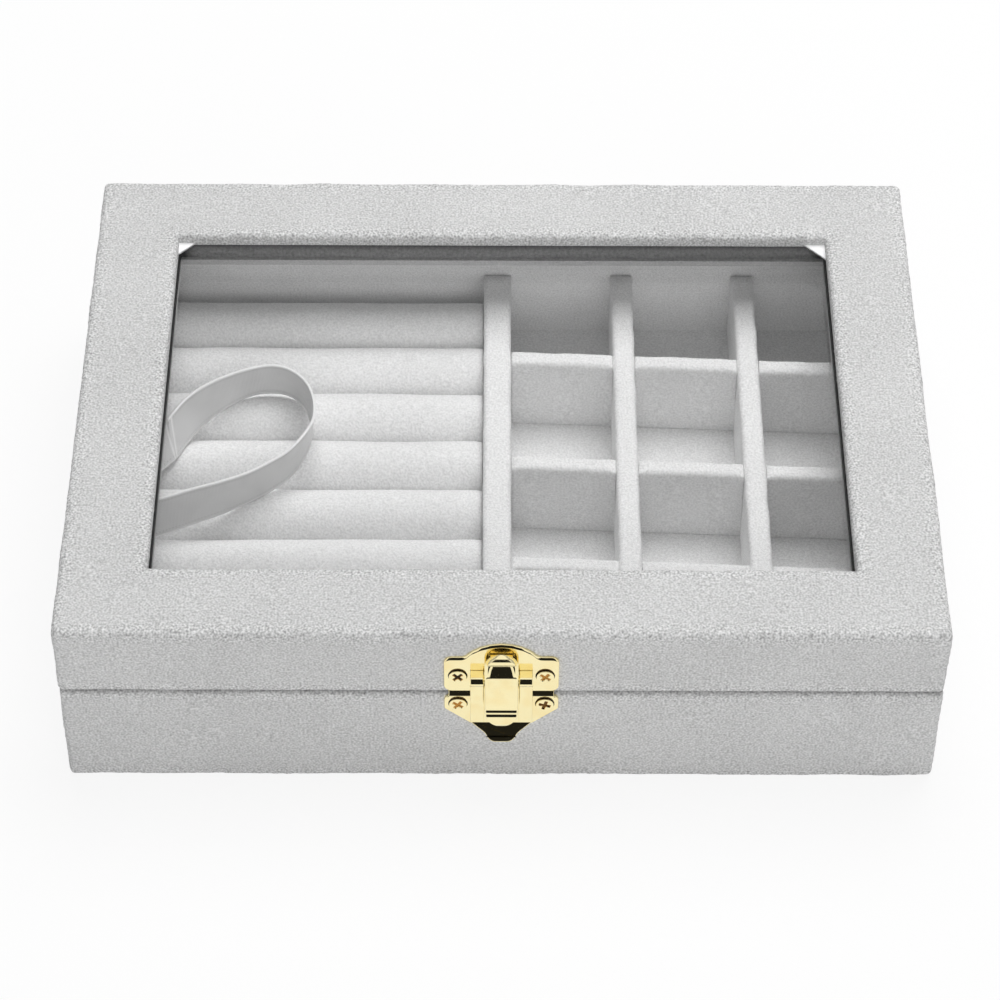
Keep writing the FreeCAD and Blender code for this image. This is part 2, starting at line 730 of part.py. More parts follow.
def keeper_plate():
    # the plate on the base: ears, a flared tongue, a raised channel and the barrel of the lever's pivot
    plate = body("latch_keeper_plate")
    half = "latch_width / 2"
    corner = "latch_corner"
    waist = "channel_width / 2"
    neck = "keeper_neck_width / 2"
    ear_low = "keeper_top - keeper_ear"
    tip_rise = "(keeper_height - keeper_neck)"
    tip = f"((keeper_neck_width ^ 2 / 4 + {tip_rise} ^ 2) / (2 * {tip_rise}))"
    pad(plate, outline(plate, "XZ_Plane", "half_depth", [
        (f"-{neck}", "keeper_top - keeper_neck", tip),
        (neck, "keeper_top - keeper_neck", "-keeper_scoop"),
        (waist, "keeper_top - keeper_waist"),
        (half, ear_low),
        (half, f"keeper_top - {corner}", corner),
        (f"{half} - {corner}", "keeper_top"),
        (f"{corner} - {half}", "keeper_top", corner),
        (f"-{half}", f"keeper_top - {corner}"),
        (f"-{half}", ear_low),
        (f"-{waist}", "keeper_top - keeper_waist", "-keeper_scoop"),
    ]), "latch_sheet + keeper_flare")
    face = "(-half_depth - latch_sheet)"
    channel_low = "(keeper_top - channel_drop)"
    # the tongue's face leans out from the foot of the channel to its tip, and the ears are a plain sheet
    out = f"{face} - keeper_flare - overrun"
    pocket(plate, outline(plate, "YZ_Plane", f"{half} + overrun", [
        (face, f"{channel_low} - channel_sheet"),
        (face, "keeper_top + overrun"),
        (out, "keeper_top + overrun"),
        (out, "keeper_top - keeper_height"),
        (f"{face} - keeper_flare", "keeper_top - keeper_height"),
    ]), "latch_width + 2 * overrun")
    back = "channel_y + channel_sheet"
    pad(plate, outline(plate, "YZ_Plane", f"-{waist}", [
        (face, f"{channel_low}"),
        ("channel_y", f"{channel_low}"),
        ("channel_y", "pivot_z"),
        (back, "pivot_z"),
        (back, f"{channel_low} + channel_sheet"),
        (face, f"{channel_low} + channel_sheet"),
    ]), "channel_width")
    for x in ((f"-{waist}", f"channel_sheet - {waist}"), (f"{waist} - channel_sheet", waist)):
        add_block(plate, x, ("channel_y", face), (channel_low, "keeper_top"))
    add_rod(plate, "x", (f"-{waist}", "pivot_y", "pivot_z"), "barrel_radius", "channel_width")
    cut_block(plate, ("-lever_half - lever_gap", "lever_half + lever_gap"), ("channel_y - overrun", face),
              ("pivot_z - neck_down - latch_pin", "pivot_z + barrel_radius + overrun"))
    cut_rod(plate, "x", (f"-{waist} - overrun", "pivot_y", "pivot_z"), "latch_pin + pin_fit",
            "channel_width + 2 * overrun")
    for across, up in keeper_screws:
        cut_rod(plate, "y", (across, f"{face} - overrun", up), "screw_shank + screw_fit",
                "latch_sheet + 2 * overrun")
    screw_set("keeper_screws", "y", face, keeper_screws, "latch_head", "latch_head_height")
    pin = doc.addObject("Part::Cylinder", "latch_pin")
    keep(round_span(pin, "x", (f"-{waist}", "pivot_y", "pivot_z"), "latch_pin", "channel_width"), "latch_pin")


def lever():
    # a pressed bill on the pivot: hook above, thumb lip below, hollow behind between two cheeks
    bill = body("latch_lever")

    def spot(out, up):
        return (f"pivot_y - ({out})", f"pivot_z + ({up})")

    pad(bill, outline(bill, "YZ_Plane", "-lever_half", [
        spot("-hook_reach", "lever_up - crown_drop / 2"),
        spot("0", "lever_up"),
        spot("crown_out", "lever_up - crown_drop"),
        spot("bevel_out", "bevel_up"),
        spot("face_out", "face_up"),
        spot("heel_out", "-heel_down"),
        spot("lip_out", "-lip_down"),
        spot("lip_out - lip_sheet", "-lip_down"),
        spot("neck_out", "-neck_down"),
        spot("-hook_reach", "-neck_down"),
        spot("-ear_radius", "-ear_flat"),
        spot("-ear_radius", "ear_flat"),
        spot("-hook_reach", "neck_down"),
    ]), "lever_width")
    cheek = "lever_half - lever_sheet"
    slope = "(heel_out - face_out) / (heel_down + face_up)"
    pocket(bill, outline(bill, "YZ_Plane", cheek, [
        spot("-ear_radius - overrun", "-neck_down - overrun"),
        spot("-ear_radius - overrun", "hook_up"),
        spot("bevel_out - lever_sheet - (hook_up - bevel_up) / 2", "hook_up"),
        spot("face_out - lever_sheet", f"face_up - {bevel_inset_share} * lever_sheet"),
        spot(f"face_out - lever_sheet + {slope} * (face_up + ear_flat)", "-ear_flat"),
        spot("neck_out - lever_sheet", "-neck_down - overrun"),
    ]), f"2 * ({cheek})")
    # round top and eased lip corners, seen from the front
    middle = "pivot_z + lever_up - lever_half"
    above = "pivot_z + lever_up + overrun"
    lip = "pivot_z - lip_down"
    front = "half_depth + pivot_out + lip_out + overrun"
    depth = "lip_out + ear_radius + 2 * overrun"
    beyond = "(lever_half + overrun)"
    inner = "(lever_half - lever_corner)"
    for side, bow in ((1, "-"), (-1, "")):
        corner = [
            ("0", "pivot_z + lever_up", f"{bow}lever_half"),
            (f"{side} * lever_half", middle),
            (f"{side} * {beyond}", middle),
            (f"{side} * {beyond}", above),
            ("0", above),
        ]
        pocket(bill, outline(bill, "XZ_Plane", front, corner), depth)
        corner = [
            (f"{side} * lever_half", f"{lip} + lever_corner", f"{bow}lever_corner"),
            (f"{side} * {inner}", lip),
            (f"{side} * {inner}", f"{lip} - overrun"),
            (f"{side} * {beyond}", f"{lip} - overrun"),
            (f"{side} * {beyond}", f"{lip} + lever_corner"),
        ]
        pocket(bill, outline(bill, "XZ_Plane", front, corner), depth)
    cut_rod(bill, "x", ("-lever_half - overrun", "pivot_y", "pivot_z"), "latch_pin + pin_fit",
            "lever_width + 2 * overrun")


def spring():
    # a bowed leaf between the channel and the lever
    leaf = body("latch_spring")
    low = "pivot_z - spring_low"
    high = "pivot_z - spring_high"
    chord = "(spring_low - spring_high)"
    bow = f"(({chord} ^ 2 / 4 + spring_bow ^ 2) / (2 * spring_bow))"
    inset = "2 * spring_sheet"
    inner_chord = f"({chord} - 2 * {inset})"
    inner_bow = "(spring_bow - spring_sheet)"
    inner = f"(({inner_chord} ^ 2 / 4 + {inner_bow} ^ 2) / (2 * {inner_bow}))"
    pad(leaf, outline(leaf, "YZ_Plane", "-spring_width / 2", [
        ("channel_y", low, f"-{bow}"),
        ("channel_y", high),
        ("channel_y", f"{high} - {inset}", inner),
        ("channel_y", f"{low} + {inset}"),
    ]), "spring_width")


base_shell()
base_liners()
compartments()
ring_rolls()
lid_shell()
glazing()
ribbon()
for hinge_side, hinge_centre in zip(("left", "right"), hinge_centres):
    hinge(hinge_side, hinge_centre)
rear_face = "half_depth + hinge_sheet"
screw_set("base_hinge_screws", "-y", rear_face, base_hinge_screws, "hinge_head", "hinge_head_height")
screw_set("lid_hinge_screws", "-y", rear_face, lid_hinge_screws, "hinge_head", "hinge_head_height")
catch_plate()
keeper_plate()
lever()
spring()
doc.recompute()

faults = [thing.Name for thing in doc.Objects if {"Invalid", "Error"} & set(thing.State)]
faults += [node.Label for node in nodes
           if node.Shape.isNull() or not node.Shape.isValid() or not node.Shape.Solids]
if faults:
    raise SystemExit("failed: " + ", ".join(faults))

os.makedirs("parts", exist_ok=True)
for node in nodes:
    node.Shape.exportStep(f"parts/{node.Label}.step")
print(len(nodes), "nodes written")
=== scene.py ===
import json
import math

import bmesh
import bpy
import numpy as np
from mathutils import Matrix, Vector


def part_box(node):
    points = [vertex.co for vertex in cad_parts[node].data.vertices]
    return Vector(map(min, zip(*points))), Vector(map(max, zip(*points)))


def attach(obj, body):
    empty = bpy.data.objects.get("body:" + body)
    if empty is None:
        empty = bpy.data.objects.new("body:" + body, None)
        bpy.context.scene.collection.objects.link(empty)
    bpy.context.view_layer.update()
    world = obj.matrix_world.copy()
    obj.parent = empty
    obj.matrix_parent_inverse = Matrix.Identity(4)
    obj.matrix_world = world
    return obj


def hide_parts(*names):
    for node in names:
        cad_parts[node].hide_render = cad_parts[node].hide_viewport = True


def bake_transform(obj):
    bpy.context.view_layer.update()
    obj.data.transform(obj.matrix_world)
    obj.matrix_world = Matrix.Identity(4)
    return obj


# Looks of a velvet jewelry box with a glazed lid. Metres, +Z up, latch at -Y.

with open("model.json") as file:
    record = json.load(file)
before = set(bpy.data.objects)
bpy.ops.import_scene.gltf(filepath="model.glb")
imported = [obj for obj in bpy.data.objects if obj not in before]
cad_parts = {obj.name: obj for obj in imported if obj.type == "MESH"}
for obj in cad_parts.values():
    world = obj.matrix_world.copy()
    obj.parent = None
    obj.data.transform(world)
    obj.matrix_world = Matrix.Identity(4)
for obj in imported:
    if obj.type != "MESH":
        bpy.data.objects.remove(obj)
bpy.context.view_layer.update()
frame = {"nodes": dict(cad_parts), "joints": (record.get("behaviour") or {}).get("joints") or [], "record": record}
nodes = frame["nodes"]
mm = 0.001
weldGap = 2e-7  # points nearer than this become one
cutGap = 1e-6  # stations this near make an upright step
print("frame loaded,", len(nodes), "nodes")


# Surfaces as whole arrays

waveCount = 20


def ripple(points, wavelength, seed):
    # sine waves of one wavelength with random headings and phases, added up to about 1
    draw = np.random.default_rng(seed)
    heading = draw.normal(size=(3, waveCount))
    heading = heading / np.linalg.norm(heading, axis=0)
    phase = draw.uniform(0, 2 * np.pi, waveCount)
    waves = np.sin(points @ heading * (2 * np.pi / wavelength) + phase)
    return waves.sum(axis=-1) / math.sqrt(waveCount / 2)


def roundedLine(corners, radii, step, closed=False):
    # straight runs between the corners, each corner swapped for an arc of its own radius
    corners = np.asarray(corners, float)
    radii = np.broadcast_to(radii, len(corners))
    count = len(corners)
    stops = []
    for i in range(count):
        if not closed and i in (0, count - 1):
            stops.append(corners[i:i + 1])
            continue
        corner = corners[i]
        wayIn = corner - corners[i - 1]
        wayOut = corners[(i + 1) % count] - corner
        wayIn = wayIn / np.linalg.norm(wayIn)
        wayOut = wayOut / np.linalg.norm(wayOut)
        bend = math.atan2(wayIn[0] * wayOut[1] - wayIn[1] * wayOut[0], wayIn @ wayOut)
        start = corner - wayIn * radii[i] * abs(math.tan(bend / 2))
        side = np.array([-wayIn[1], wayIn[0]]) * math.copysign(radii[i], bend)
        angle = np.linspace(0, bend, max(4, math.ceil(abs(bend) * radii[i] / step) + 1))[:, None]
        stops.append(start + side - side * np.cos(angle) + wayIn * radii[i] * np.abs(np.sin(angle)))
    runs = []
    for i in range(count if closed else count - 1):
        here = stops[i]
        there = stops[(i + 1) % count]
        gap = np.linalg.norm(there[0] - here[-1])
        share = np.linspace(0, 1, max(2, math.ceil(gap / step) + 1))[1:-1, None]
        runs += [here, here[-1] + share * (there[0] - here[-1])]
    if not closed:
        runs.append(stops[-1])
    return np.concatenate(runs)


def gridNormals(grid, wrapU, wrapV):
    # cross product of the differences along both ways of the grid
    def across(axis, wrap):
        if wrap:
            return np.roll(grid, -1, axis) - np.roll(grid, 1, axis)
        return np.gradient(grid, axis=axis)

    normal = np.cross(across(0, wrapU), across(1, wrapV))
    return normal / np.maximum(np.linalg.norm(normal, axis=-1, keepdims=True), 1e-12)


def patch(grid, wrapU=False, wrapV=False, caps=False):
    # the points of a grid, its quads and, where asked, one many-sided face over each end row
    rows, columns = grid.shape[:2]
    index = np.arange(rows * columns).reshape(rows, columns)
    down = np.roll(index, -1, 0) if wrapU else index[1:]
    here = index if wrapU else index[:-1]
    if wrapV:
        quads = np.stack([here, np.roll(here, -1, 1), np.roll(down, -1, 1), down], -1)
    else:
        quads = np.stack([here[:, :-1], here[:, 1:], down[:, 1:], down[:, :-1]], -1)
    ends = [index[0][::-1], index[-1]] if caps else []
    return grid.reshape(-1, 3), quads.reshape(-1, 4), ends


def prism(outline, low, high, lowEdge, highEdge, place, steps=5, upEdge=None):
    # an outline raised from low to high, with each rim rounded by a quarter circle of its own radius;
    # the high rim takes the radius upEdge where it faces up
    following = np.roll(outline, -1, 0)
    if np.sum(outline[:, 0] * following[:, 1] - outline[:, 1] * following[:, 0]) < 0:
        outline = outline[::-1]
    tangent = np.roll(outline, -1, 0) - np.roll(outline, 1, 0)
    tangent = tangent / np.linalg.norm(tangent, axis=1, keepdims=True)
    inward = np.stack([-tangent[:, 1], tangent[:, 0]], -1)
    facingUp = np.clip(-inward[:, 1], 0, 1) ** 2
    rim = highEdge + facingUp * ((highEdge if upEdge is None else upEdge) - highEdge)
    turn = np.linspace(0, np.pi / 2, steps + 1)[:, None]
    back = turn[::-1]
    inset = np.concatenate([lowEdge * (1 - np.sin(turn)) + 0 * rim, rim * (1 - np.sin(back))])
    level = np.concatenate([low + lowEdge * (1 - np.cos(turn)) + 0 * rim, high - rim * (1 - np.cos(back))])
    ring = outline[None] + inward[None] * inset[..., None]
    return patch(place(ring[..., 0], ring[..., 1], level), False, True, True)


def lathe(profile, steps, place, tube=False):
    # radii and lengths turned a full circle about the length axis; a tube's profile closes on itself
    angle = np.linspace(0, 2 * np.pi, steps, endpoint=False)
    radius = profile[:, :1]
    length = np.broadcast_to(profile[:, 1:], (len(profile), steps))
    return patch(place(radius * np.cos(angle), radius * np.sin(angle), length), tube, True, not tube)


def addObject(name, data):
    thing = bpy.data.objects.new(name, data)
    bpy.context.scene.collection.objects.link(thing)
    return thing


def makePiece(name, patches, material, values=None, uv=None):
    # one mesh of several patches, welded, with faces outwards and flat caps
    faces = []
    start = 0
    for points, quads, ends in patches:
        faces += (quads + start).tolist() + [(end + start).tolist() for end in ends]
        start += len(points)
    mesh = bpy.data.meshes.new(name)
    mesh.from_pydata(np.concatenate([points for points, _, _ in patches]), [], faces)
    for label, numbers in (values or {}).items():
        layer = mesh.attributes.new(label, "FLOAT", "POINT")
        layer.data.foreach_set("value", numbers.astype(np.float32).ravel())
    if uv is not None:
        corner = np.zeros(len(mesh.loops), np.int32)
        mesh.loops.foreach_get("vertex_index", corner)
        layer = mesh.uv_layers.new(name="UVMap")
        layer.data.foreach_set("uv", uv.reshape(-1, 2)[corner].astype(np.float32).ravel())
    shell = bmesh.new()
    shell.from_mesh(mesh)
    bmesh.ops.remove_doubles(shell, verts=shell.verts, dist=weldGap)
    bmesh.ops.recalc_face_normals(shell, faces=shell.faces)
    shell.to_mesh(mesh)
    shell.free()
    sides = np.zeros(len(mesh.polygons), np.int32)
    mesh.polygons.foreach_get("loop_total", sides)
    mesh.polygons.foreach_set("use_smooth", sides <= 4)
    mesh.materials.append(material)
    return addObject(name, mesh)


def fit(piece, body, node):
    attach(piece, body)
    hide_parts(node)


def keepFlats(piece):
    # large faces keep their own normal, so that only the rounded rims bend the light
    weigh = piece.modifiers.new("keepFlats", "WEIGHTED_NORMAL")
    weigh.mode = "FACE_AREA"
    weigh.weight = 80
    return piece


# Nodes and the groups that several finishes share

def feed(tree, node, sockets):
    # each socket is linked to another one or set to a plain value
    for key, source in sockets.items():
        if isinstance(source, bpy.types.NodeSocket):
            tree.links.new(source, node.inputs[key])
        else:
            node.inputs[key].default_value = source


def addNode(tree, kind, sockets=None, **fields):
    node = tree.nodes.new("ShaderNode" + kind)
    for field, setting in fields.items():
        setattr(node, field, setting)
    feed(tree, node, sockets or {})
    return node


def maths(tree, operation, *terms):
    return addNode(tree, "Math", dict(enumerate(terms)), operation=operation).outputs[0]


def ramp(tree, source, low, high, first=0.0, last=1.0):
    return addNode(tree, "MapRange", {0: source, 1: low, 2: high, 3: first, 4: last}).outputs[0]


def scaled(tree, colour, shade):
    return addNode(tree, "VectorMath", {0: colour, "Scale": shade}, operation="SCALE").outputs[0]


def blendColour(tree, share, low, high):
    return addNode(tree, "Mix", {0: share, 6: low, 7: high}, data_type="RGBA").outputs[2]


def objectPlace(tree, stretch=None):
    place = addNode(tree, "TexCoord").outputs["Object"]
    if stretch:
        place = addNode(tree, "Mapping", {"Vector": place, "Scale": stretch}).outputs[0]
    return place


def noise(tree, place, scale, detail, roughness=0.5):
    sockets = {"Vector": place, "Scale": scale, "Detail": detail, "Roughness": roughness}
    return addNode(tree, "TexNoise", sockets).outputs[0]


def attribute(tree, name):
    return addNode(tree, "Attribute", attribute_name=name).outputs["Fac"]


def grey(level):
    return (level, level, level, 1)


def makeGroup(name, inputs, outputs):
    # a plain number goes in as a value and four numbers as a colour
    group = bpy.data.node_groups.new(name, "ShaderNodeTree")
    for label, start in inputs.items():
        kind = "NodeSocketFloat" if isinstance(start, float) else "NodeSocketColor"
        group.interface.new_socket(label, in_out="INPUT", socket_type=kind).default_value = start
    for label in outputs:
        kind = "NodeSocketColor" if label == "Colour" else "NodeSocketFloat"
        group.interface.new_socket(label, in_out="OUTPUT", socket_type=kind)
    entry = group.nodes.new("NodeGroupInput").outputs
    leave = group.nodes.new("NodeGroupOutput")
    return group, entry, leave


napPattern = {"fine": 2000.0, "patchy": 420.0, "slow": 34.0, "fuzzGain": 0.6, "patchRise": 0.35}


def velvetNapGroup():
    # short pile: a fine grain, brushed patches a few millimetres wide and slow cloudiness
    start = {"Colour": grey(0.6), "Grain": 0.1, "Brush": 0.05, "Fuzz": 0.0}
    group, entry, leave = makeGroup("velvetNap", start, ("Colour", "Height"))
    place = objectPlace(group)
    fine = noise(group, place, napPattern["fine"], 0.5)
    patchy = noise(group, place, napPattern["patchy"], 2.0, 0.6)
    slow = noise(group, place, napPattern["slow"], 1.0)
    livelier = maths(group, "MULTIPLY_ADD", entry["Fuzz"], napPattern["fuzzGain"], 1.0)
    grain = maths(group, "MULTIPLY", maths(group, "SUBTRACT", fine, 0.5), entry["Grain"])
    cloud = maths(group, "SUBTRACT", maths(group, "ADD", patchy, slow), 1.0)
    brush = maths(group, "MULTIPLY", cloud, entry["Brush"])
    swing = maths(group, "ADD", maths(group, "MULTIPLY", grain, livelier), brush)
    height = maths(group, "MULTIPLY_ADD", patchy, napPattern["patchRise"], fine)
    tone = scaled(group, entry["Colour"], maths(group, "ADD", swing, 1.0))
    feed(group, leave, {"Colour": tone, "Height": height})
    return group


def fibreFlecksGroup():
    # pressed fibres: flecks stretched across the sheet
    start = {"Colour": grey(0.6), "Contrast": 0.2, "Scale": 600.0}
    group, entry, leave = makeGroup("fibreFlecks", start, ("Colour", "Height"))
    fleck = noise(group, objectPlace(group, (1.0, 0.45, 0.8)), entry["Scale"], 3.0, 0.7)
    swing = maths(group, "MULTIPLY", maths(group, "SUBTRACT", fleck, 0.5), entry["Contrast"])
    tone = scaled(group, entry["Colour"], maths(group, "ADD", swing, 1.0))
    feed(group, leave, {"Colour": tone, "Height": fleck})
    return group


platePattern = {"wave": 260.0, "deepShare": 0.45,
                "rub": 700.0, "rubStretch": (6.0, 1.0, 1.0), "rubDull": 0.12}


def platingGroup():
    # thin plate over stamped sheet: slow waves with a deeper tone at their crests, and faint rubbing marks
    start = {"Colour": (0.9, 0.7, 0.4, 1), "Deep": (0.7, 0.5, 0.2, 1), "Smooth": 0.08}
    group, entry, leave = makeGroup("plating", start, ("Colour", "Roughness", "Height"))
    wave = noise(group, objectPlace(group), platePattern["wave"], 1.0)
    rub = noise(group, objectPlace(group, platePattern["rubStretch"]), platePattern["rub"], 3.0)
    dull = ramp(group, rub, 0.35, 0.75, 0.0, platePattern["rubDull"])
    share = ramp(group, wave, 0.45, 0.8, 0.0, platePattern["deepShare"])
    tone = blendColour(group, share, entry["Colour"], entry["Deep"])
    roughness = maths(group, "ADD", entry["Smooth"], dull)
    feed(group, leave, {"Colour": tone, "Roughness": roughness, "Height": wave})
    return group


velvetNap = velvetNapGroup()
fibreFlecks = fibreFlecksGroup()
plating = platingGroup()


# Finishes

def newFinish(name):
    material = bpy.data.materials.new(name)
    material.use_nodes = True
    tree = material.node_tree
    return material, tree, tree.nodes["Principled BSDF"]


def useGroup(tree, group, values):
    return addNode(tree, "Group", values, node_tree=group).outputs


def bumped(tree, height, strength, distance):
    return addNode(tree, "Bump", {"Height": height, "Strength": strength, "Distance": distance}).outputs[0]


def show(tree, shader):
    feed(tree, tree.nodes["Material Output"], {"Surface": shader.outputs[0]})


# painted shade: the velvet is darkened beside the seam between lid and base, where the groove lies in shade
seamPaintedShade = {"shade": 0.76, "reach": 0.75 * mm}


def velvetFinish(name, tone, grain, brush, sheen, bump, cover=False):
    # a cover also reads how fuzzy its edges are and how near its seam is, for the painted shade there
    material, tree, surface = newFinish(name)
    values = {"Colour": grey(tone), "Grain": grain, "Brush": brush}
    if cover:
        values["Fuzz"] = attribute(tree, "fuzz")
    nap = useGroup(tree, velvetNap, values)
    colour = nap["Colour"]
    if cover:
        # painted shade along the seam
        colour = scaled(tree, colour, ramp(tree, attribute(tree, "seam"), 0.0, 1.0, 1.0, seamPaintedShade["shade"]))
    feed(tree, surface, {"Base Color": colour, "Roughness": 0.95, "Specular IOR Level": 0.1,
                         "Sheen Weight": sheen, "Sheen Roughness": 0.45,
                         "Normal": bumped(tree, nap["Height"], bump, 0.35 * mm)})
    return material


def fibreFinish(name, colour, contrast, scale, roughness, bump):
    material, tree, surface = newFinish(name)
    flecks = useGroup(tree, fibreFlecks, {"Colour": (*colour, 1), "Contrast": contrast, "Scale": scale})
    feed(tree, surface, {"Base Color": flecks["Colour"], "Roughness": roughness,
                         "Normal": bumped(tree, flecks["Height"], bump, 0.2 * mm)})
    return material


recessDarkening = {"half": (0.50, 0.24, 0.05, 1), "full": (0.03, 0.02, 0.01, 1)}


def metalFinish(name, colour, deep, smooth):
    # plated metal whose recesses are darkened from plate through brown to black; round each screw head the
    # darkening is painted shade
    material, tree, surface = newFinish(name)
    plate = useGroup(tree, plating, {"Colour": (*colour, 1), "Deep": (*deep, 1), "Smooth": smooth})
    recess = attribute(tree, "recess")
    brown = blendColour(tree, ramp(tree, recess, 0.0, 0.5), plate["Colour"], recessDarkening["half"])
    stained = blendColour(tree, ramp(tree, recess, 0.5, 1.0), brown, recessDarkening["full"])
    feed(tree, surface, {"Base Color": stained, "Roughness": plate["Roughness"], "Metallic": 1.0,
                         "Normal": bumped(tree, plate["Height"], 0.06, 0.3 * mm)})
    return material


def glassFinish(name):
    # clear sheet glass; light for the tray passes it unbent, and a faint smear dulls the gloss in places
    material, tree, surface = newFinish(name)
    dull = ramp(tree, noise(tree, objectPlace(tree), 55.0, 4.0), 0.5, 0.8, 0.0, 0.05)
    feed(tree, surface, {"Base Color": grey(0.985), "Roughness": dull, "IOR": 1.45,
                         "Transmission Weight": 1.0})
    through = addNode(tree, "BsdfTransparent", {"Color": grey(0.97)})
    ray = addNode(tree, "LightPath").outputs
    indirect = maths(tree, "MAXIMUM", ray["Is Shadow Ray"], ray["Is Diffuse Ray"])
    show(tree, addNode(tree, "MixShader", {0: indirect, 1: surface.outputs[0], 2: through.outputs[0]}))
    return material


# tones of the foam with its painted shade: lighter at the foot, darker at the top and at the sides
gasketToneAndShade = {"footTone": 0.31, "topTone": 0.085, "contrast": 1.6, "fleckScale": 1300.0,
              "sideShare": 0.15, "sideReach": 3 * mm, "sideTuck": 1.5 * mm}


def gasketFinish(name):
    # dark foam with painted shade: lighter at the foot of its front and rear runs, darker towards its top where it
    # tucks under the velvet, and darkest at the sides
    g = gasketToneAndShade
    material, tree, surface = newFinish(name)
    low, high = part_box("window_gasket")
    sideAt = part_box("lid_right_bar")[0].x - g["sideTuck"]
    place = addNode(tree, "SeparateXYZ", {0: objectPlace(tree)}).outputs
    fromMiddle = maths(tree, "ABSOLUTE", place["X"])
    # painted shade at the sides, under the side bars
    sides = ramp(tree, fromMiddle, sideAt - g["sideReach"], sideAt, 1.0, g["sideShare"])
    # painted shade, darker towards the top under the velvet edge
    heightShade = ramp(tree, place["Z"], low.z, high.z, g["footTone"], g["topTone"])
    tone = maths(tree, "MULTIPLY", heightShade, sides)
    dark = addNode(tree, "CombineXYZ", {0: tone, 1: tone, 2: tone}).outputs[0]
    values = {"Colour": dark, "Contrast": g["contrast"], "Scale": g["fleckScale"]}
    flecks = useGroup(tree, fibreFlecks, values)
    feed(tree, surface, {"Base Color": flecks["Colour"], "Roughness": 0.9,
                         "Normal": bumped(tree, flecks["Height"], 0.8, 0.2 * mm)})
    return material


# ribs and stitches are radians per metre of strip, the rest are shares of its width or tones
satinWeave = {"ribs": 18000.0, "stitches": 7800.0, "stitchAt": 0.405, "stitchHalf": 0.018, "stitchShare": 0.3,
              "selvedge": (0.455, 0.47), "cloudy": (0.94, 1.05), "stitchTone": 0.22, "paleTone": 0.95}


def satinFinish(name, tone):
    # satin strip: fine weft ribs along its length, two pale selvedges with a row of stitches beside each; the
    # selvedges are pale partly by painted highlight, and the crease lines are painted highlights
    w = satinWeave
    material, tree, surface = newFinish(name)
    spot = addNode(tree, "SeparateXYZ", {0: addNode(tree, "UVMap", uv_map="UVMap").outputs[0]}).outputs
    fromMiddle = maths(tree, "ABSOLUTE", maths(tree, "SUBTRACT", spot["Y"], 0.5))
    selvedge = ramp(tree, fromMiddle, *w["selvedge"])
    ribs = maths(tree, "SINE", maths(tree, "MULTIPLY", spot["X"], w["ribs"]))
    stitchAlong = maths(tree, "SINE", maths(tree, "MULTIPLY", spot["X"], w["stitches"]))
    stitchRow = maths(tree, "COMPARE", fromMiddle, w["stitchAt"], w["stitchHalf"])
    stitch = maths(tree, "MULTIPLY", stitchRow, maths(tree, "GREATER_THAN", stitchAlong, 0.1))
    shade = ramp(tree, noise(tree, objectPlace(tree), 160.0, 3.0), 0.3, 0.7, *w["cloudy"])
    cloth = scaled(tree, (tone, tone, tone), shade)
    stitchMix = maths(tree, "MULTIPLY", stitch, w["stitchShare"])
    stitched = blendColour(tree, stitchMix, cloth, grey(w["stitchTone"]))
    # pale selvedges, partly painted highlight, and painted highlights along the creases
    pale = maths(tree, "MAXIMUM", selvedge, attribute(tree, "crease"))
    height = maths(tree, "MULTIPLY_ADD", ribs, 0.3, selvedge)
    feed(tree, surface, {"Base Color": blendColour(tree, pale, stitched, grey(w["paleTone"])),
                         "Roughness": 0.42, "Sheen Weight": 0.2,
                         "Normal": bumped(tree, height, 0.35, 0.08 * mm)})
    return material


# the tray and roll velvet are lighter than the cover: partly a paler lining, partly painted light making up for
# the light that the lid and glass keep from the tray
coverVelvet = velvetFinish("coverVelvet", tone=0.60, grain=1.0, brush=0.16, sheen=0.15, bump=0.55, cover=True)
trayVelvet = velvetFinish("trayVelvet", tone=0.86, grain=0.48, brush=0.10, sheen=0.15, bump=0.4)
rollVelvet = velvetFinish("rollVelvet", tone=0.86, grain=0.42, brush=0.08, sheen=0.15, bump=0.4)
# painted shade: the glazing bead takes a darker copy of the velvet
beadVelvet = velvetFinish("beadVelvet", tone=0.50, grain=0.6, brush=0.12, sheen=0.1, bump=0.4)
goldPlate = metalFinish("goldPlate", (0.96, 0.85, 0.50), (0.92, 0.72, 0.33), smooth=0.05)
springSteel = metalFinish("springSteel", (0.5, 0.5, 0.52), (0.35, 0.35, 0.4), smooth=0.25)
satin = satinFinish("satinRibbon", tone=0.70)
clearGlass = glassFinish("clearGlass")
# name, colour, contrast and scale of the flecks, roughness and bump
fibreLooks = {
    "board": ("rawBoard", (0.40, 0.29, 0.18), 0.5, 500.0, 0.85, 0.5),
    "felt": ("greyFelt", (0.30, 0.30, 0.31), 0.7, 900.0, 0.95, 0.8),
    "white_card": ("whiteCard", (0.92, 0.92, 0.92), 0.06, 700.0, 0.6, 0.15),
    "lining_paper": ("greyLining", (0.50, 0.50, 0.50), 0.25, 800.0, 0.85, 0.3),
}
finishes = {
    "velvet": trayVelvet, "roll_velvet": rollVelvet, "satin_ribbon": satin, "clear_glass": clearGlass,
    "gold_metal": goldPlate, "spring_steel": springSteel, "gasket": gasketFinish("darkFoam"),
    **{slot: fibreFinish(*look) for slot, look in fibreLooks.items()},
}
for subpart in frame["record"]["subparts"]:
    finish = finishes[subpart["material_slot"]]
    mesh = nodes[subpart["node"]].data
    mesh.materials.clear()
    # the glazing bead gets the darker velvet, as painted shade
    mesh.materials.append(beadVelvet if subpart["node"] == "glazing_bead" else finish)
print("finishes made,", len(bpy.data.materials), "materials")


# Velvet covers

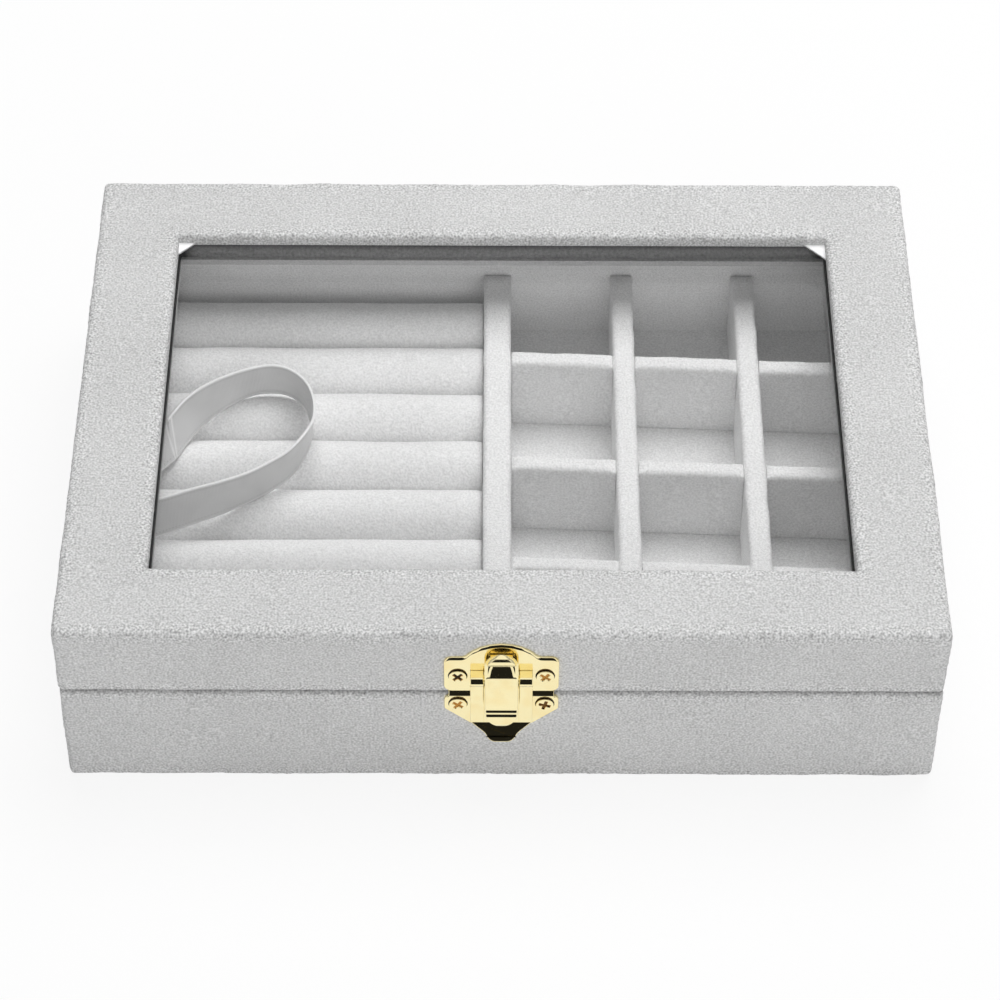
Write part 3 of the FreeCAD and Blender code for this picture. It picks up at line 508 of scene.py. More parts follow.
coverCloth = {
    "thickness": 0.7 * mm, "wallBoard": 5.0 * mm, "hang": 0.9 * mm,
    "cornerRadius": 1.4 * mm, "leastCorner": 0.12 * mm, "topRadius": 1.5 * mm, "rimRadius": 1.1 * mm,
    "windowRadius": 1.4 * mm, "footRadius": 0.9 * mm, "turnInRadius": 0.3 * mm,
    "alongStep": 0.62 * mm, "roundStep": 0.8 * mm, "cornerSteps": 7,
    "nap": 0.025 * mm, "pile": 0.03 * mm, "pileWave": 1.7 * mm, "puff": 0.06 * mm, "puffWave": 15 * mm,
    "calm": 1.5 * mm, "fuzzReach": 1.6 * mm, "leastTurn": 0.02,
}


def carriedRound(profile, halfX, halfY):
    # a profile of insets and heights carried round a rectangle: each inset shrinks the rectangle, and its
    # corner arcs shrink with it until they are all but mitres
    inset = profile[:, :1]
    arc = np.maximum(coverCloth["cornerRadius"] - inset, coverCloth["leastCorner"])
    reachX = halfX - inset - arc
    reachY = halfY - inset - arc
    quarter = np.linspace(0, np.pi / 2, coverCloth["cornerSteps"])
    arcs = []
    for k, (signX, signY) in enumerate(((1, -1), (1, 1), (-1, 1), (-1, -1))):
        angle = quarter + (k - 1) * np.pi / 2
        arcX = signX * reachX + arc * np.cos(angle)
        arcY = signY * reachY + arc * np.sin(angle)
        arcs.append(np.stack([arcX, arcY], -1))
    runs = []
    for k in range(4):
        length = 2 * (halfY if k % 2 == 0 else halfX)
        share = np.linspace(0, 1, math.ceil(length / coverCloth["roundStep"]))[1:-1, None]
        here = arcs[k][:, -1:]
        runs += [arcs[k], here + share * (arcs[(k + 1) % 4][:, :1] - here)]
    plan = np.concatenate(runs, axis=1)
    height = np.broadcast_to(profile[:, 1:, None], plan.shape[:2] + (1,))
    return np.concatenate([plan, height], axis=-1)


def makeCover(name, outer, inner, halfX, halfY, seamHeight, seed):
    # the outer line is shown cloth and gets its pile; the inner line closes the skin against the boards
    c = coverCloth
    profile = np.concatenate([outer, inner])
    grid = carriedRound(profile, halfX, halfY)
    normal = gridNormals(grid, True, True)
    middle = grid - np.array([0, 0, grid[..., 2].mean()])
    edgeRow = len(outer) // 2
    facing = np.sign((normal[edgeRow] * middle[edgeRow]).sum(axis=-1).mean())
    shown = np.zeros((len(profile), 1))
    shown[2:len(outer) - 2] = 1
    rest = np.clip(np.abs(grid[..., 2] - seamHeight) / c["calm"], 0, 1)
    draw = np.random.default_rng(seed)
    rise = c["nap"] * draw.normal(size=grid.shape[:2])
    rise = rise + c["pile"] * ripple(grid, c["pileWave"], seed)
    rise = rise + c["puff"] * ripple(grid, c["puffWave"], seed + 1)
    grid = grid + normal * (facing * shown * rest * rise)[..., None]
    # the pile opens, and looks fuzzier, where the profile turns
    step = np.diff(profile, axis=0, append=profile[:1])
    heading = np.unwrap(np.arctan2(step[:, 1], step[:, 0]))
    turning = np.abs(np.diff(heading, prepend=heading[:1])) > c["leastTurn"]
    along = np.concatenate([[0], np.cumsum(np.linalg.norm(step, axis=1))[:-1]])
    nearest = np.abs(along[:, None] - along[turning][None]).min(axis=1)
    fuzz = np.exp(-(nearest / c["fuzzReach"]) ** 2)[:, None] * np.ones(grid.shape[1])
    # how near the seam each point is, for the painted shade there
    seam = np.exp(-((grid[..., 2] - seamHeight) / seamPaintedShade["reach"]) ** 2)
    return makePiece(name, [patch(grid, True, True)], coverVelvet, {"fuzz": fuzz, "seam": seam})


def velvetCovers():
    c = coverCloth
    cloth = c["thickness"]
    wall = cloth + c["wallBoard"]
    low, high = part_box("lid_velvet_cover")
    barLow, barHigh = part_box("lid_left_bar")
    edge = high.x + barHigh.x + cloth
    hem = barLow.z - c["hang"]
    lines = [(wall, low.z + cloth), (wall, low.z), (0, low.z), (0, high.z), (edge, high.z), (edge, hem)]
    radii = [0, c["turnInRadius"], c["rimRadius"], c["topRadius"], c["windowRadius"], 0]
    outer = roundedLine(lines, radii, c["alongStep"])
    lines = [(edge - cloth, hem), (edge - cloth, barHigh.z), (cloth, barHigh.z), (cloth, low.z + cloth)]
    lid = makeCover("lidVelvet", outer, np.array(lines), high.x, high.y, low.z, seed=11)
    fit(lid, "lid", "lid_velvet_cover")
    low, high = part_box("base_velvet_cover")
    edge = high.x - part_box("bottom_felt")[1].x
    lines = [(wall, high.z - cloth), (wall, high.z), (0, high.z), (0, 0), (edge, 0), (edge, cloth)]
    radii = [0, c["turnInRadius"], c["rimRadius"], c["footRadius"], c["turnInRadius"], 0]
    outer = roundedLine(lines, radii, c["alongStep"])
    lines = [(cloth, cloth), (cloth, high.z - cloth)]
    base = makeCover("baseVelvet", outer, np.array(lines), high.x, high.y, high.z, seed=23)
    fit(base, "base", "base_velvet_cover")


velvetCovers()
print("covers made")


# Window

glassSheet = {"corner": 0.8 * mm, "edge": 0.2 * mm, "step": 2.0 * mm}
# how far the card and the gasket show inside the velvet (across, front, rear), and the cuts across the left
# and right rear corners
windowCard = {"show": (-0.6 * mm, -0.6 * mm, -0.6 * mm), "cut": (4.4 * mm, 5.6 * mm)}
windowSeal = {"show": (0.12 * mm, -0.2 * mm, 0.1 * mm), "cut": (0.5 * mm, 0.5 * mm)}
windowEdge = {"corner": 0.15 * mm, "step": 1.0 * mm}


def asGiven(x, y, z):
    return np.stack([x, y, z], -1)


def windowGlass():
    # a flat sheet with eased rims
    low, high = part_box("glass_pane")
    corners = [(low.x, low.y), (high.x, low.y), (high.x, high.y), (low.x, high.y)]
    outline = roundedLine(corners, glassSheet["corner"], glassSheet["step"], closed=True)
    sheet = prism(outline, low.z, high.z, glassSheet["edge"], glassSheet["edge"], asGiven)
    fit(makePiece("windowGlass", [sheet], clearGlass), "lid", "glass_pane")


def windowFrame(name, node, slot, frameCut):
    # a flat frame: its inner outline, and the same points pushed straight out from the middle to the outer
    # rectangle
    low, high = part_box(node)
    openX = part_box("lid_right_bar")[0].x - coverCloth["thickness"]
    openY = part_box("lid_rear_bar")[0].y - coverCloth["thickness"]
    showAcross, showFront, showRear = frameCut["show"]
    left, right = frameCut["cut"]
    side = openX - showAcross
    front = showFront - openY
    rear = openY - showRear
    corners = [(-side, front), (side, front), (side, openY - right), (openX - right, rear),
               (left - openX, rear), (-side, openY - left)]
    inner = roundedLine(corners, windowEdge["corner"], windowEdge["step"], closed=True)
    outer = inner / np.max(np.abs(inner) / [high.x, high.y], axis=1, keepdims=True)
    rows = [(inner, low.z), (inner, high.z), (outer, high.z), (outer, low.z)]
    grid = np.stack([asGiven(p[:, 0], p[:, 1], np.full(len(p), z)) for p, z in rows])
    fit(keepFlats(makePiece(name, [patch(grid, True, True)], finishes[slot])), "lid", node)


windowFrame("cornerCard", "white_corner_card", "white_card", windowCard)
windowFrame("windowSeal", "window_gasket", "gasket", windowSeal)
windowGlass()
print("window made")


# Tray dividers

dividerCloth = {
    "radius": 1.4 * mm, "mostRound": 0.9, "step": 0.7 * mm, "sectionStep": 0.5 * mm, "fit": 0.1 * mm,
    "puff": 0.05 * mm, "puffWave": 8 * mm, "mostPuff": 0.1 * mm, "nap": 0.03 * mm,
    # the cloth is calm this far under the top, and comes alive over the height of the fade
    "calmDepth": 5 * mm, "calmFade": 4 * mm,
    # the top dips beside each crossing, and columns sink towards the rear wall
    "dip": 0.7 * mm, "dipReach": 0.8 * mm, "endSink": 2.2 * mm, "endReach": 4.0 * mm,
    # the rows stand a little askew: slope about a middle place, and each row's own shift, front row first
    "rowSlope": -0.045, "rowMiddle": 29 * mm, "rowShifts": (0.6 * mm, -1.4 * mm, -0.15 * mm),
}


def dividerPiece(name, node, isRow, notches, seed, shift=0.0):
    # a round-topped section carried along a straight line; its top dips where it meets another divider
    d = dividerCloth
    low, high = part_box(node)
    start, end = (low.x, high.x) if isRow else (low.y, high.y)
    side, far = (low.y, high.y) if isRow else (low.x, high.x)
    half = (far - side) / 2
    centre = (far + side) / 2
    topRadius = min(d["radius"], d["mostRound"] * half)
    section = roundedLine([(-half, low.z), (-half, high.z), (half, high.z), (half, low.z)],
                          [0, topRadius, topRadius, 0], d["sectionStep"])
    edges = np.array([(a, a + cutGap, b - cutGap, b) for a, b in notches]).ravel()
    stations = np.union1d(np.linspace(start, end, math.ceil((end - start) / d["step"])), edges)
    away = np.minimum(np.abs(stations - start), np.abs(stations - end))
    for notchLow, notchHigh in notches:
        away = np.minimum(away, np.minimum(np.abs(stations - notchLow), np.abs(stations - notchHigh)))
    top = high.z - d["dip"] * np.exp(-away / d["dipReach"]) * bool(notches)
    if not isRow:
        top = top - d["endSink"] * np.clip(1 - (end - stations) / d["endReach"], 0, 1) ** 2
    for notchLow, notchHigh in notches:
        inside = (stations > notchLow + cutGap / 2) & (stations < notchHigh - cutGap / 2)
        top = np.where(inside, (low.z + high.z) / 2, top)
    height = np.minimum(section[None, :, 1], top[:, None])
    across = np.broadcast_to(centre + section[None, :, 0], height.shape)
    along = np.broadcast_to(stations[:, None], height.shape)
    grid = np.stack([along, across, height] if isRow else [across, along, height], -1)
    draw = np.random.default_rng(seed)
    swell = d["puff"] * ripple(grid, d["puffWave"], seed) + d["nap"] * draw.normal(size=grid.shape[:2])
    alive = np.clip((grid[..., 2] - (high.z - d["calmDepth"])) / d["calmFade"], 0, 1)
    alive = alive * np.clip(away / mm, 0, 1)[:, None]
    grid[..., 2] += np.where(grid[..., 2] > low.z + mm, np.minimum(swell, d["mostPuff"]) * alive, 0)
    grid[..., 1 if isRow else 0] += swell * alive * (across - centre) / half
    if isRow:
        grid[..., 1] += shift + d["rowSlope"] * (along - d["rowMiddle"])
    fit(makePiece(name, [patch(grid, False, True, True)], trayVelvet), "base", node)


def trayDividers():
    dividerPiece("centreDivider", "centre_divider", False, [], seed=31)
    columns = []
    for i in (1, 2):
        dividerPiece(f"columnDivider{i}", f"column_divider_{i}", False, [], seed=31 + i)
        low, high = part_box(f"column_divider_{i}")
        columns.append((low.x - dividerCloth["fit"], high.x + dividerCloth["fit"]))
    for i, shift in enumerate(dividerCloth["rowShifts"], 1):
        dividerPiece(f"rowDivider{i}", f"row_divider_{i}", True, columns, 41 + i, shift)


trayDividers()
print("dividers made")


# Ring rolls

rollCloth = {
    "count": 8, "fill": 0.9, "forward": 3.2 * mm, "crown": 7.6 * mm, "footShare": 0.86, "footPower": 0.35,
    "endShare": 0.985, "tuck": 2.0 * mm, "step": 0.9 * mm, "aroundSteps": 72,
    "wave": 0.10 * mm, "waveLength": 28 * mm, "nap": 0.02 * mm, "mostSwell": 0.05 * mm, "seed": 60,
}


def ringRolls():
    # an upper half ellipse over a squarer lower half, drawn in towards both ends by a quarter sine
    r = rollCloth
    angle = np.linspace(0, 2 * np.pi, r["aroundSteps"], endpoint=False)
    sine, cosine = np.sin(angle), np.cos(angle)
    upper = sine >= 0
    outward = np.stack([0 * angle, cosine, np.maximum(sine, 0)], -1)
    squarer = np.sign(cosine) * np.abs(cosine) ** r["footPower"]
    for number in range(1, r["count"] + 1):
        low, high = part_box(f"ring_roll_{number}")
        half = (high.y - low.y) / 2
        middle = (low.y + high.y) / 2 - r["forward"]
        lowerHalf = high.z - r["crown"] - low.z
        up = np.where(upper, r["crown"] * sine, -lowerHalf * np.abs(sine) ** r["footPower"])
        drawIn = 1 - (1 - r["footShare"]) * np.clip(-up / lowerHalf, 0, 1) ** 2
        across = half * np.where(upper, cosine, squarer) * drawIn
        stations = np.linspace(low.x, high.x, math.ceil((high.x - low.x) / r["step"]))
        toEnd = np.clip(np.minimum(stations - low.x, high.x - stations) / r["tuck"], 0, 1)
        share = r["endShare"] + (1 - r["endShare"]) * np.sin(toEnd * np.pi / 2)
        grid = np.stack([np.broadcast_to(stations[:, None], (len(stations), len(angle))),
                         middle + share[:, None] * across,
                         low.z + share[:, None] * (up + lowerHalf)], -1)
        seed = r["seed"] + number
        draw = np.random.default_rng(seed)
        swell = r["wave"] * (ripple(grid, r["waveLength"], seed) - 1)
        swell = swell + r["nap"] * draw.normal(size=grid.shape[:2])
        grid = grid + outward * np.minimum(swell, r["mostSwell"])[..., None]
        roll = makePiece(f"ringRoll{number}", [patch(grid, False, True, True)], rollVelvet)
        fit(roll, "base", f"ring_roll_{number}")


ringRolls()
print("ring rolls made")


# Lid stay ribbon

stayRibbon = {
    # places along the strip in millimetres, base end first: its foot across, to the rear and above the rolls,
    # then how far its top edge stands from its foot, across and to the rear
    "route": [(-90.4, -26.3, 0.0, 0.2, 8.6), (-81.8, -20.9, 0.0, 0.4, 2.3), (-73.9, -16.9, 0.0, 0.2, 1.2),
              (-66.7, -13.3, 0.0, 0.0, 0.1), (-60.7, -9.7, 0.0, 0.1, -0.7), (-55.6, -5.9, 0.0, 0.3, -0.8),
              (-51.2, -1.4, 0.0, 0.6, -1.0), (-47.7, 6.4, 0.0, 1.8, -0.4), (-46.6, 12.2, 0.0, 1.3, -0.2),
              (-46.9, 17.6, 0.0, 0.4, 0.0), (-48.6, 22.4, 0.0, -0.2, -0.6), (-51.9, 26.0, 0.0, -0.5, -1.1),
              (-56.3, 27.5, 0.0, -0.3, -1.5), (-61.2, 26.6, 0.0, 0.1, -1.6), (-65.5, 24.0, 0.0, 0.0, -0.9),
              (-71.0, 18.7, 0.0, -0.6, 0.8), (-75.2, 12.6, 0.0, -1.2, 2.6), (-78.9, 4.9, 0.0, -1.2, 5.0)],
    # past the crease the strip goes away under the frame to the lid
    "fold": [(-78.9, 4.9, 0.0, -1.2, 5.0), (-79.3, 4.4, 0.0, -1.2, 4.0), (-80.6, 2.8, 0.0, -0.6, 5.2),
             (-83.0, 0.2, 0.0, 0.6, 6.0), (-87.0, -2.2, 2.5, 0.6, 5.5), (-93.3, -4.0, 9.2, 0.0, 2.0)],
    "forward": 0.9 * mm, "width": 11.0 * mm, "sheet": 0.3 * mm, "rest": 0.35 * mm, "restsOn": (3, 4, 5),
    "strandSteps": 288, "foldSteps": 72, "acrossSteps": 14,
    "selvedge": 0.36 * mm, "selvedgeFrom": 0.43, "crimp": 0.12 * mm, "crimpLength": 9 * mm,
    # the two crease lines, painted as highlights: places along the strip at its foot and at its top
    "creases": ((0.0, 0.0), (0.9 * mm, 2.6 * mm)), "creaseWidth": 0.28 * mm,
}


def smoothRoute(points, count):
    # a cubic through the points, whose slope at each is the chord between its neighbours
    points = np.asarray(points, float)
    gap = np.linalg.norm(np.diff(points[:, :3], axis=0), axis=1) ** 0.5
    place = np.concatenate([[0], np.cumsum(gap)])
    slope = np.gradient(points, place, axis=0)
    at = np.linspace(0, place[-1], count)
    i = np.clip(np.searchsorted(place, at, side="right") - 1, 0, len(points) - 2)
    width = gap[i][:, None]
    t = (at - place[i])[:, None] / width
    ease = t * t * (3 - 2 * t)
    curve = points[i] * (1 - ease) + points[i + 1] * ease
    return curve + width * (slope[i] * t * (1 - t) ** 2 - slope[i + 1] * t * t * (1 - t))


def ribbonStrip():
    # a strip on edge: along the route, across its own width, with a thicker line at both selvedges
    s = stayRibbon
    foot = max(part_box(f"ring_roll_{i}")[1].z for i in range(1, rollCloth["count"] + 1)) + s["rest"]
    strand = smoothRoute(s["route"], s["strandSteps"])
    route = np.concatenate([strand, smoothRoute(s["fold"], s["foldSteps"])[1:]]) * mm
    route[:, 1] -= s["forward"]
    rise = np.sqrt(np.maximum(s["width"] ** 2 - (route[:, 3:] ** 2).sum(axis=1), 0))
    bottom = np.stack([route[:, 0], route[:, 1], foot + route[:, 2]], -1)
    edge = np.concatenate([route[:, 3:], rise[:, None]], axis=1)
    length = np.concatenate([[0], np.cumsum(np.linalg.norm(np.diff(bottom + edge / 2, axis=0), axis=1))])
    share = np.linspace(0, 1, s["acrossSteps"])
    middle = bottom[:, None] + share[None, :, None] * edge[:, None]
    across = np.cross(np.gradient(bottom, axis=0), edge)
    across = across / np.linalg.norm(across, axis=1, keepdims=True)
    crimp = s["crimp"] * np.sin(length / s["crimpLength"])[:, None] * np.sin(share * np.pi)[None]
    middle = middle + across[:, None] * crimp[..., None]
    thick = s["sheet"] / 2 + s["selvedge"] / 2 * (np.abs(share - 0.5) > s["selvedgeFrom"])
    sideA = middle + across[:, None] * thick[None, :, None]
    sideB = middle - across[:, None] * thick[None, :, None]
    grid = np.concatenate([sideA, sideB[:, ::-1]], axis=1)
    spot = np.concatenate([share, share[::-1]])
    uv = np.stack(np.broadcast_arrays(length[:, None], spot[None]), -1)
    run = np.repeat(length, len(spot))
    # painted highlight: two pale lines where the strip is creased
    fromCrease = run - length[len(strand) - 1]
    up = np.tile(spot, len(length))
    crease = sum(np.exp(-((fromCrease - low - up * (high - low)) / s["creaseWidth"]) ** 2)
                 for low, high in s["creases"])
    values = {"run": run, "crease": crease}
    strip = makePiece("stayRibbon", [patch(grid, False, True, True)], satin, values, uv)
    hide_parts("stay_ribbon")
    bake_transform(strip)
    # how far along the strip each point lies is read back
    run = np.zeros(len(strip.data.vertices), np.float32)
    strip.data.attributes["run"].data.foreach_get("value", run)
    print("ribbon made,", round(float(length[-1]) / mm, 1), "mm long")


ribbonStrip()


# Latch

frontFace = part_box("base_velvet_cover")[0].y
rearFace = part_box("base_velvet_cover")[1].y
leverPivot = next(j["pos_m"] for j in frame["joints"] if j["child"] == "lever")
hiddenRim = 0.02 * mm  # the rim of a plate that lies against the velvet


def frontPlace(x, z, out):
    # across, up and proud of the front face
    return np.stack([x, frontFace - out, z], -1)


def rearPlace(x, z, out):
    return np.stack([x, rearFace + out, z], -1)


def sidePlace(out, z, x):
    return frontPlace(x, z, out)


def goldPiece(name, patches, body, node, values=None):
    fit(keepFlats(makePiece(name, patches, goldPlate, values)), body, node)


catchPlate = {
    "sheet": 0.8 * mm, "edge": 0.2 * mm, "upEdge": 0.7 * mm, "corner": 1.8 * mm, "step": 0.35 * mm,
    "arch": 4.4 * mm, "archHalf": 8.35 * mm, "archSteps": 9, "archEase": 3.0 * mm, "shoulder": 2.0 * mm,
    # the nose that the lever hooks over: up from the pivot, out of the plate, root and tip heights
    "noseHalf": 2.5 * mm, "noseUp": 5.9 * mm, "noseOut": 2.35 * mm, "noseRoot": 2.4 * mm, "noseTip": 0.9 * mm,
    "noseCorner": 0.2 * mm, "noseRim": 0.1 * mm,
}


def catchPlatePiece():
    # a plate with two ears and an arched top, and under the lever a wedge for its hook
    c = catchPlate
    low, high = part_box("latch_catch_plate")
    half = high.x
    earTop = high.z - c["arch"]
    bow = (c["archHalf"] ** 2 + c["arch"] ** 2) / (2 * c["arch"])
    swing = math.asin(c["archHalf"] / bow)
    angle = np.linspace(-swing, swing, c["archSteps"])[:, None]
    archPoints = np.concatenate([-bow * np.sin(angle), high.z - bow + bow * np.cos(angle)], axis=1)
    corners = np.concatenate([[(-half, low.z), (half, low.z), (half, earTop)], archPoints, [(-half, earTop)]])
    archRadii = [c["shoulder"]] + [c["archEase"]] * (c["archSteps"] - 2) + [c["shoulder"]]
    radii = [c["corner"]] * 3 + archRadii + [c["corner"]]
    outline = roundedLine(corners, radii, c["step"], closed=True)
    plate = prism(outline, 0, c["sheet"], hiddenRim, c["edge"], frontPlace, upEdge=c["upEdge"])
    top = leverPivot[2] + c["noseUp"]
    corners = [(0, top), (0, top - c["noseRoot"]), (c["noseOut"], top - c["noseTip"]), (c["noseOut"], top)]
    wedge = roundedLine(corners, c["noseCorner"], c["step"], closed=True)
    nose = prism(wedge, -c["noseHalf"], c["noseHalf"], c["noseRim"], c["noseRim"], sidePlace)
    goldPiece("catchPlate", [plate, nose], "lid", "latch_catch_plate")


keeperPlate = {
    "sheet": 0.8 * mm, "edge": 0.25 * mm, "gap": 0.1 * mm, "step": 0.35 * mm, "earLow": 4.4 * mm,
    "earRadii": [1.6 * mm, 1.0 * mm, 0.3 * mm], "waist": 9.3 * mm, "waistHalf": 7.0 * mm,
    # the tongue starts above the waist, behind the ears, which end below it
    "tongueLap": 0.5 * mm, "earLap": 0.3 * mm, "neck": 12.0 * mm, "neckHalf": 3.5 * mm, "tipHalf": 2.8 * mm,
    "tipRise": 0.6 * mm, "flare": 2.2 * mm, "tongueRadii": [0.1 * mm, 0.5 * mm, 3.0 * mm, 2.2 * mm],
    # the bevelled crown over the ears: out and up from the plate's top, in millimetres
    "crown": [(0.05, -0.6), (0.79, -0.6), (0.79, 0.0), (0.2, 1.4), (0.05, 1.4)],
    "crownEnd": 1.0 * mm, "crownCorner": 0.04 * mm, "crownRim": 0.2 * mm, "crownStep": 0.3 * mm,
}
keeperChannel = {
    "half": 7.0 * mm, "out": 3.0 * mm, "sheet": 0.7 * mm, "drop": 6.6 * mm, "seat": 0.4 * mm,
    "webBack": 0.35 * mm, "webLap": 0.3 * mm, "wallBack": 0.1 * mm, "slotHalf": 3.95 * mm,
    "slotDrop": 2.5 * mm, "corner": 0.05 * mm, "step": 0.3 * mm, "thinRim": 0.03 * mm, "stripRim": 0.22 * mm,
    "barrel": 1.3 * mm, "barrelSheet": 0.56 * mm, "barrelTurn": 80, "barrelSteps": 20, "barrelTail": 1.0 * mm,
    # where the strips swell towards the barrel: out from the channel or the barrel, and up from the pin
    "pinOut": 2.5 * mm, "swellFrom": 0.6 * mm, "swellFront": (0.1 * mm, -1.3 * mm),
    "swellRear": (-0.1 * mm, -1.0 * mm), "meetBarrel": (-0.06 * mm, -0.6 * mm),
}


def channelPatches(foot):
    # a web, a foot, two side walls, and a strip up each side of the lever that curls over the pin
    k = keeperChannel
    inner = k["half"] - k["sheet"]
    under = k["out"] - k["sheet"]
    thin = k["thinRim"]
    pinUp = leverPivot[2]
    slotLow = pinUp - k["slotDrop"]

    def oblong(lowA, lowB, highA, highB):
        corners = [(lowA, lowB), (highA, lowB), (highA, highB), (lowA, highB)]
        return roundedLine(corners, k["corner"], k["step"], closed=True)

    webHalf = k["slotHalf"] + k["webLap"]
    web = oblong(-webHalf, foot, webHalf, slotLow)
    flange = oblong(-inner, foot, inner, foot + k["sheet"])
    patches = [prism(web, under - k["webBack"], k["out"] - k["webBack"], thin, thin, frontPlace),
               prism(flange, k["seat"], under, thin, thin, frontPlace)]
    last = math.radians(k["barrelTurn"])
    curl = np.linspace(0, last, k["barrelSteps"])
    ring = np.stack([np.cos(curl), np.sin(curl)], -1)
    centre = np.array([k["pinOut"], pinUp])
    outside = centre + k["barrel"] * ring
    inside = centre + (k["barrel"] - k["barrelSheet"]) * ring
    backward = np.array([-math.sin(last), math.cos(last)])
    tail = (outside[-1, 0] - k["barrelTail"]) / math.sin(last) * backward
    rise = slotLow + k["swellFrom"]
    front = [(k["out"], foot), (k["out"], rise), (k["out"] + k["swellFront"][0], pinUp + k["swellFront"][1]),
             (centre[0] + k["barrel"] + k["meetBarrel"][0], pinUp + k["meetBarrel"][1])]
    rear = [(k["out"] + k["swellRear"][0], pinUp + k["swellRear"][1]), (under, rise), (under, foot)]
    strip = np.concatenate([front, outside, [outside[-1] + tail, inside[-1] + tail], inside[::-1], rear])
    wall = oblong(k["seat"], foot, k["out"] - k["wallBack"], slotLow)
    for side in (-1, 1):
        near, far = sorted((side * k["slotHalf"], side * k["half"]))
        patches.append(prism(strip, near, far, k["stripRim"], k["stripRim"], sidePlace))
        near, far = sorted((side * inner, side * (k["half"] - thin)))
        patches.append(prism(wall, near, far, thin, thin, sidePlace))
    return patches


def keeperPlatePiece():
    # a flat plate with two ears and a bevelled crown, a tongue that leans out, and the channel for the pin
    k = keeperPlate
    low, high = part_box("latch_keeper_plate")
    half = high.x
    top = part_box("base_velvet_cover")[1].z - k["gap"]
    tip = low.z + k["tipRise"]
    bend = top - k["waist"]
    waist = k["waistHalf"]

    def bothSides(right, radii):
        corners = right[::-1] + [(-x, z) for x, z in right]
        return roundedLine(corners, radii[::-1] + radii, k["step"], closed=True)

    def leaning(x, z, out):
        # the tongue leans out towards its tip, the same all the way
        return frontPlace(x, z, out + k["flare"] * (bend - z) / (bend - tip))

    ears = bothSides([(half, top), (half, top - k["earLow"]), (waist, bend - k["earLap"])], k["earRadii"])
    tongue = bothSides([(waist, bend + k["tongueLap"]), (waist, bend), (k["neckHalf"], top - k["neck"]),
                        (k["tipHalf"], tip)], k["tongueRadii"])
    crown = np.array(k["crown"]) * mm + [0, top]
    crown = roundedLine(crown, k["crownCorner"], k["crownStep"], closed=True)
    crownHalf = half - k["crownEnd"]
    patches = [prism(ears, 0, k["sheet"], hiddenRim, k["edge"], frontPlace),
               prism(tongue, 0, k["sheet"], hiddenRim, k["edge"], leaning),
               prism(crown, -crownHalf, crownHalf, k["crownRim"], k["crownRim"], sidePlace)]
    patches += channelPatches(top - keeperChannel["drop"])
    goldPiece("keeperPlate", patches, "base", "latch_keeper_plate")


leverBill = {
    "half": 3.8 * mm, "corner": 4.6 * mm, "leastHalf": 0.5 * mm, "leastFacet": 0.2 * mm, "steps": 150,
    "cornerSteps": 9, "sheet": 0.3 * mm, "cheek": 3.05 * mm, "hollow": (-10.6 * mm, 6.2 * mm),
    # height from the pivot, then how far the front stands proud of it, in millimetres
    "front": [(-12.2, 2.9), (-12.05, 3.2), (-11.7, 3.45), (-11.2, 3.52), (-8.66, 3.42), (-8.58, 3.36),
              (-8.3, 3.0), (-7.7, 2.95), (-7.62, 2.9), (-7.3, 2.62), (2.75, 1.74), (2.95, 1.68), (5.85, 0.93),
              (6.0, 0.9), (7.4, 0.84), (7.62, 0.74), (7.85, 0.45), (8.05, 0.0), (8.2, -0.4)],
    # how far its back stands, and the half width of the flat between the side facets
    "back": [(-12.2, 2.5), (-8.0, 1.85), (-1.9, 1.0), (-1.89, -0.6), (-0.9, -1.25), (0.9, -1.25), (1.9, -0.6),
             (8.2, -0.6)],
    "flat": [(-12.2, 3.2), (2.7, 3.2), (2.9, 2.6), (5.9, 1.6), (6.0, 3.4), (8.2, 3.4)],
    # how far the side facets fall back, and how square their ends are: 2 is a round, near 1 a straight facet
    "fall": [(-12.2, 0.6), (2.7, 0.6), (2.9, 0.9), (5.93, 1.1), (8.2, 0.5)],
    "facet": [(-12.2, 2.0), (2.6, 2.0), (3.1, 1.25), (8.2, 1.25)],
}


